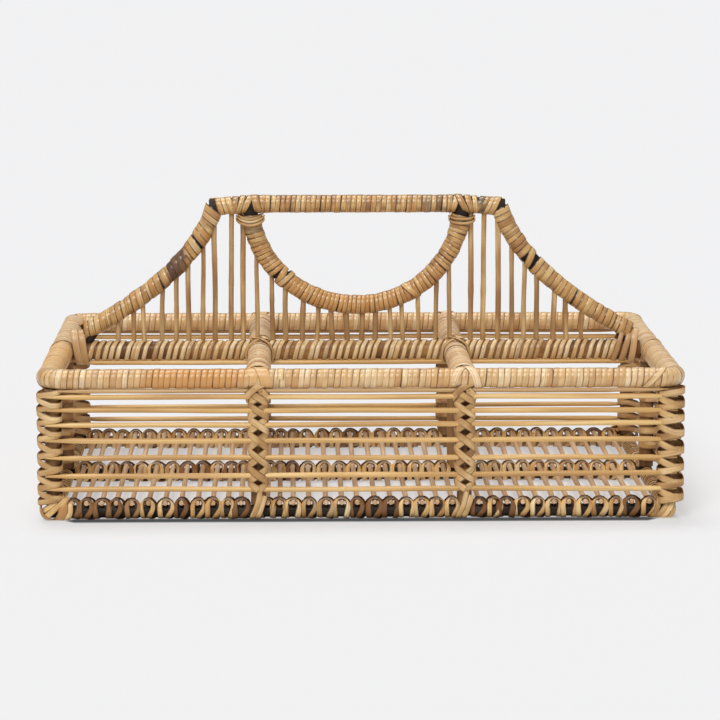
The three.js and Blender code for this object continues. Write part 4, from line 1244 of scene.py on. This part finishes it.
# legs that spread from the divider's top over the rim: broad and golden on the left, narrow and pale on the right.
# To which side, place at the top and below, lift, width, gold
legs = {-1: ((-1, -0.2, 5.4, 0.2, 8.6, 0.85), (1, 0.2, 5.8, 0.5, 8.2, 0.75)),
        1: ((-1, -0.6, 8.4, 0.4, 5.2, 0.1), (1, 0.6, 8.4, 0.9, 5.0, 0.0))}
# angle round the rim from its outer side, share of the way from the top place to the lower one, more lift
legTurn = ((178, 0.15, 1.2), (140, -0.1, 1.2), (108, 0.0, 0.9), (75, 0.3, 0.5), (40, 0.62, 0.2), (0, 0.86, 0.0),
           (-40, 1.0, 0.0), (-80, 1.05, 0.0))
legSink = 0.7
# strands over the rail that cross and pass down the sides of the divider: side, lift, shift, width, gold
collarStrands = ((1, 0.7, 1.4, 3.4, 0.75), (-1, 0.0, 0.0, 4.2, 0.25), (1, 0.0, 0.0, 3.2, 0.4))
for end in (-1, 1):
    for way in (-1, 1):
        out = Vector((0, way, 0))
        overRim = Vector((end * dividerX, way * rimY, rimZ))
        for toSide, start, low, lift, width, gold in legs[end]:
            keys = []
            for angle, share, more in legTurn:
                away = out * math.cos(math.radians(angle)) + up * math.sin(math.radians(angle))
                along = start * (1 - share) + low * share * toSide if share > 0 else start + toSide * 3 * share
                point = overRim + xAxis * along + away * (rimR - legSink + lift + more)
                keys.append((*point, *away))
            addBand(smoothRoute(keys, 4), width=width, gold=gold, brown=0.15 if end < 0 else 0.0)
        for toSide, lift, shift, width, gold in collarStrands:
            # across, along the divider from its near end, height, and the way it faces
            keys = [(-5.5, -2.0 - dividerNear, 101.0 + lift, 0, -0.3, 1), (-2.5, -5.0, 102.4 + lift, 0, 0.1, 1),
                    (2.6, 0.6 + shift, 102.0 + lift, 0.3, 0.2, 1), (7.6, 2.2 + shift, 98.2 + lift, 0.8, 0.3, 0.6),
                    (9.4, 2.4 + shift, 92.6, 1, 0.3, 0), (8.4, 0.6, 87.4, 0.8, 0.2, -0.6), (4, -3.0, 85.0, 0.3, 0, -1)]
            keys = mirrored(keys, toSide, way, end * dividerX, way * dividerNear)
            addBand(smoothRoute(keys, 5), width=width, gold=gold, brown=0.12)

# flat turns round the rail's ends: place, width, brown, slant
railEndTurns = {-1: ((-196.2, 4.8, 0.35, -2.0), (-191.4, 4.9, 0.4, -1.8)),
                1: ((193.6, 4.6, 0.3, 1.6), (188.2, 4.2, 0.75, 3.6), (182.6, 3.6, 0.75, 3.8))}
railEnd = {"z": 96.4, "reach": 8.2, "tall": 1.5}
# strands that cross over the side rail: toward, slant, lift, gold
crossingStrands = ((1, 7.0, 0.5, 0.2), (-1, 7.0, 0.9, 0.35), (1, 2.6, 0.3, 0.1), (-1, 2.4, 0.3, 0.3))
crossing = {"sink": 0.8, "apart": 3.5, "width": 5.4}
# cut end of the side rail's wrap where it butts the turned end of the rim
wrapEnd = {"out": 0.5, "inside": 3.0, "sink": 0.9, "width": 7.6}
for way in (-1, 1):
    for place, width, brown, slant in railEndTurns[way]:
        route = ringRoute(Vector((place, 0, railEnd["z"])), toFront, up, railEnd["reach"], slant, tall=railEnd["tall"])
        addBand(route, width=width, brown=brown, gold=0.2)
    side = Vector((way * sideX, 0, sideZ))
    for toward, slant, lift, gold in crossingStrands:
        place, reach = side + yAxis * (toward * crossing["apart"]), sideR - crossing["sink"] + lift
        route = ringRoute(place, up, xAxis * way, reach, toward * slant)
        addBand(route, width=crossing["width"], gold=gold, brown=0.15)
    for toward in (-1, 1):
        place = side + Vector((way * wrapEnd["out"], toward * (sideEndY - wrapEnd["inside"]), wrapEnd["out"]))
        addBand(ringRoute(place, up, xAxis * way, sideR - wrapEnd["sink"]), width=wrapEnd["width"])
finishStrips(strips, "joint_strips", bandLook, jointCane)
print("joints lashed")


# finish of the solids that stay: the cores inside the wraps, near black as painted shade between the turns
for name in ("rim_front", "rim_back", "rim_left", "rim_right", "divider_left_front", "divider_left_back",
             "divider_right_front", "divider_right_back"):
    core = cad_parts[name]
    core.data.materials.clear()
    core.data.materials.append(wrapCore)

# floor, with a narrow contact shade along the front of the base
studio = {"floorSize": 60, "floorColour": (0.44, 0.44, 0.445), "floorGlow": 0.395, "floorRoughness": 0.95,
          "shadeHalf": 0.190, "shadeY": 0.1405, "shadeReach": (0.003, 0.009), "shade": 0.9,
          "shadeColour": (0.012, 0.012, 0.013), "sky": (1.0, 1.0, 1.0), "skyStrength": 0.3}
deselectAll()
bpy.ops.mesh.primitive_plane_add(size=studio["floorSize"], location=(0, 0, 0))
floor = bpy.context.object
floor.name = "studio_floor"
finish = Finish("pale studio floor")
place = finish.place()
cloudTone = tuple(c * 0.998 for c in studio["floorColour"])
clouds = finish.ramp(finish.noise(place, (1.5, 1.5, 1.5), 1, 0.4), [(0.3, studio["floorColour"]), (0.7, cloudTone)])
split = finish.add("SeparateXYZ")
finish.feed(split.inputs["Vector"], place)
beyond = finish.calc("SUBTRACT", finish.calc("ABSOLUTE", split.outputs["X"]), studio["shadeHalf"])
distance = finish.calc("ABSOLUTE", finish.calc("ADD", split.outputs["Y"], studio["shadeY"]))
distance = finish.calc("ADD", distance, finish.calc("MAXIMUM", beyond, 0.0))
shade = finish.spread(distance, studio["shade"], 0, studio["shadeReach"], "SMOOTHSTEP")
shaded = finish.mix(shade, clouds, studio["shadeColour"])
for socket, value in (("Base Color", shaded), ("Emission Color", shaded), ("Roughness", studio["floorRoughness"]),
                      ("Emission Strength", studio["floorGlow"] / studio["floorColour"][0]),
                      ("Specular IOR Level", 0.0)):
    finish.feed(finish.shader.inputs[socket], value)
floor.data.materials.append(finish.material)

# lights and camera
world = bpy.data.worlds.new("soft white studio")
bpy.context.scene.world = world
world.use_nodes = True
sky = world.node_tree.nodes["Background"]
sky.inputs["Color"].default_value = (*studio["sky"], 1)
sky.inputs["Strength"].default_value = studio["skyStrength"]
suns = {"key_light": {"strength": 1.3, "turn": (-16, -5, 0), "angle": 26},
        "fill_light": {"strength": 1.85, "turn": (45, 0, -14), "angle": 28}}
for name, sunLook in suns.items():
    deselectAll()
    bpy.ops.object.light_add(type="SUN", rotation=[math.radians(a) for a in sunLook["turn"]])
    sun = bpy.context.object
    sun.name = name
    sun.data.energy = sunLook["strength"]
    sun.data.angle = math.radians(sunLook["angle"])

view = {"place": (-0.047, -2.246, 0.419), "pitch": 8.42, "yaw": 1.25, "lens": 161.55, "sensor": 36}
bpy.ops.object.camera_add(location=view["place"],
                          rotation=(math.radians(90 - view["pitch"]), 0, math.radians(-view["yaw"])))
camera = bpy.context.object
camera.name = "product_camera"
camera.data.lens = view["lens"]
camera.data.sensor_width = view["sensor"]
camera.data.clip_end = 100
bpy.context.scene.camera = camera
bpy.context.scene.view_settings.view_transform = "Standard"
print("studio set")
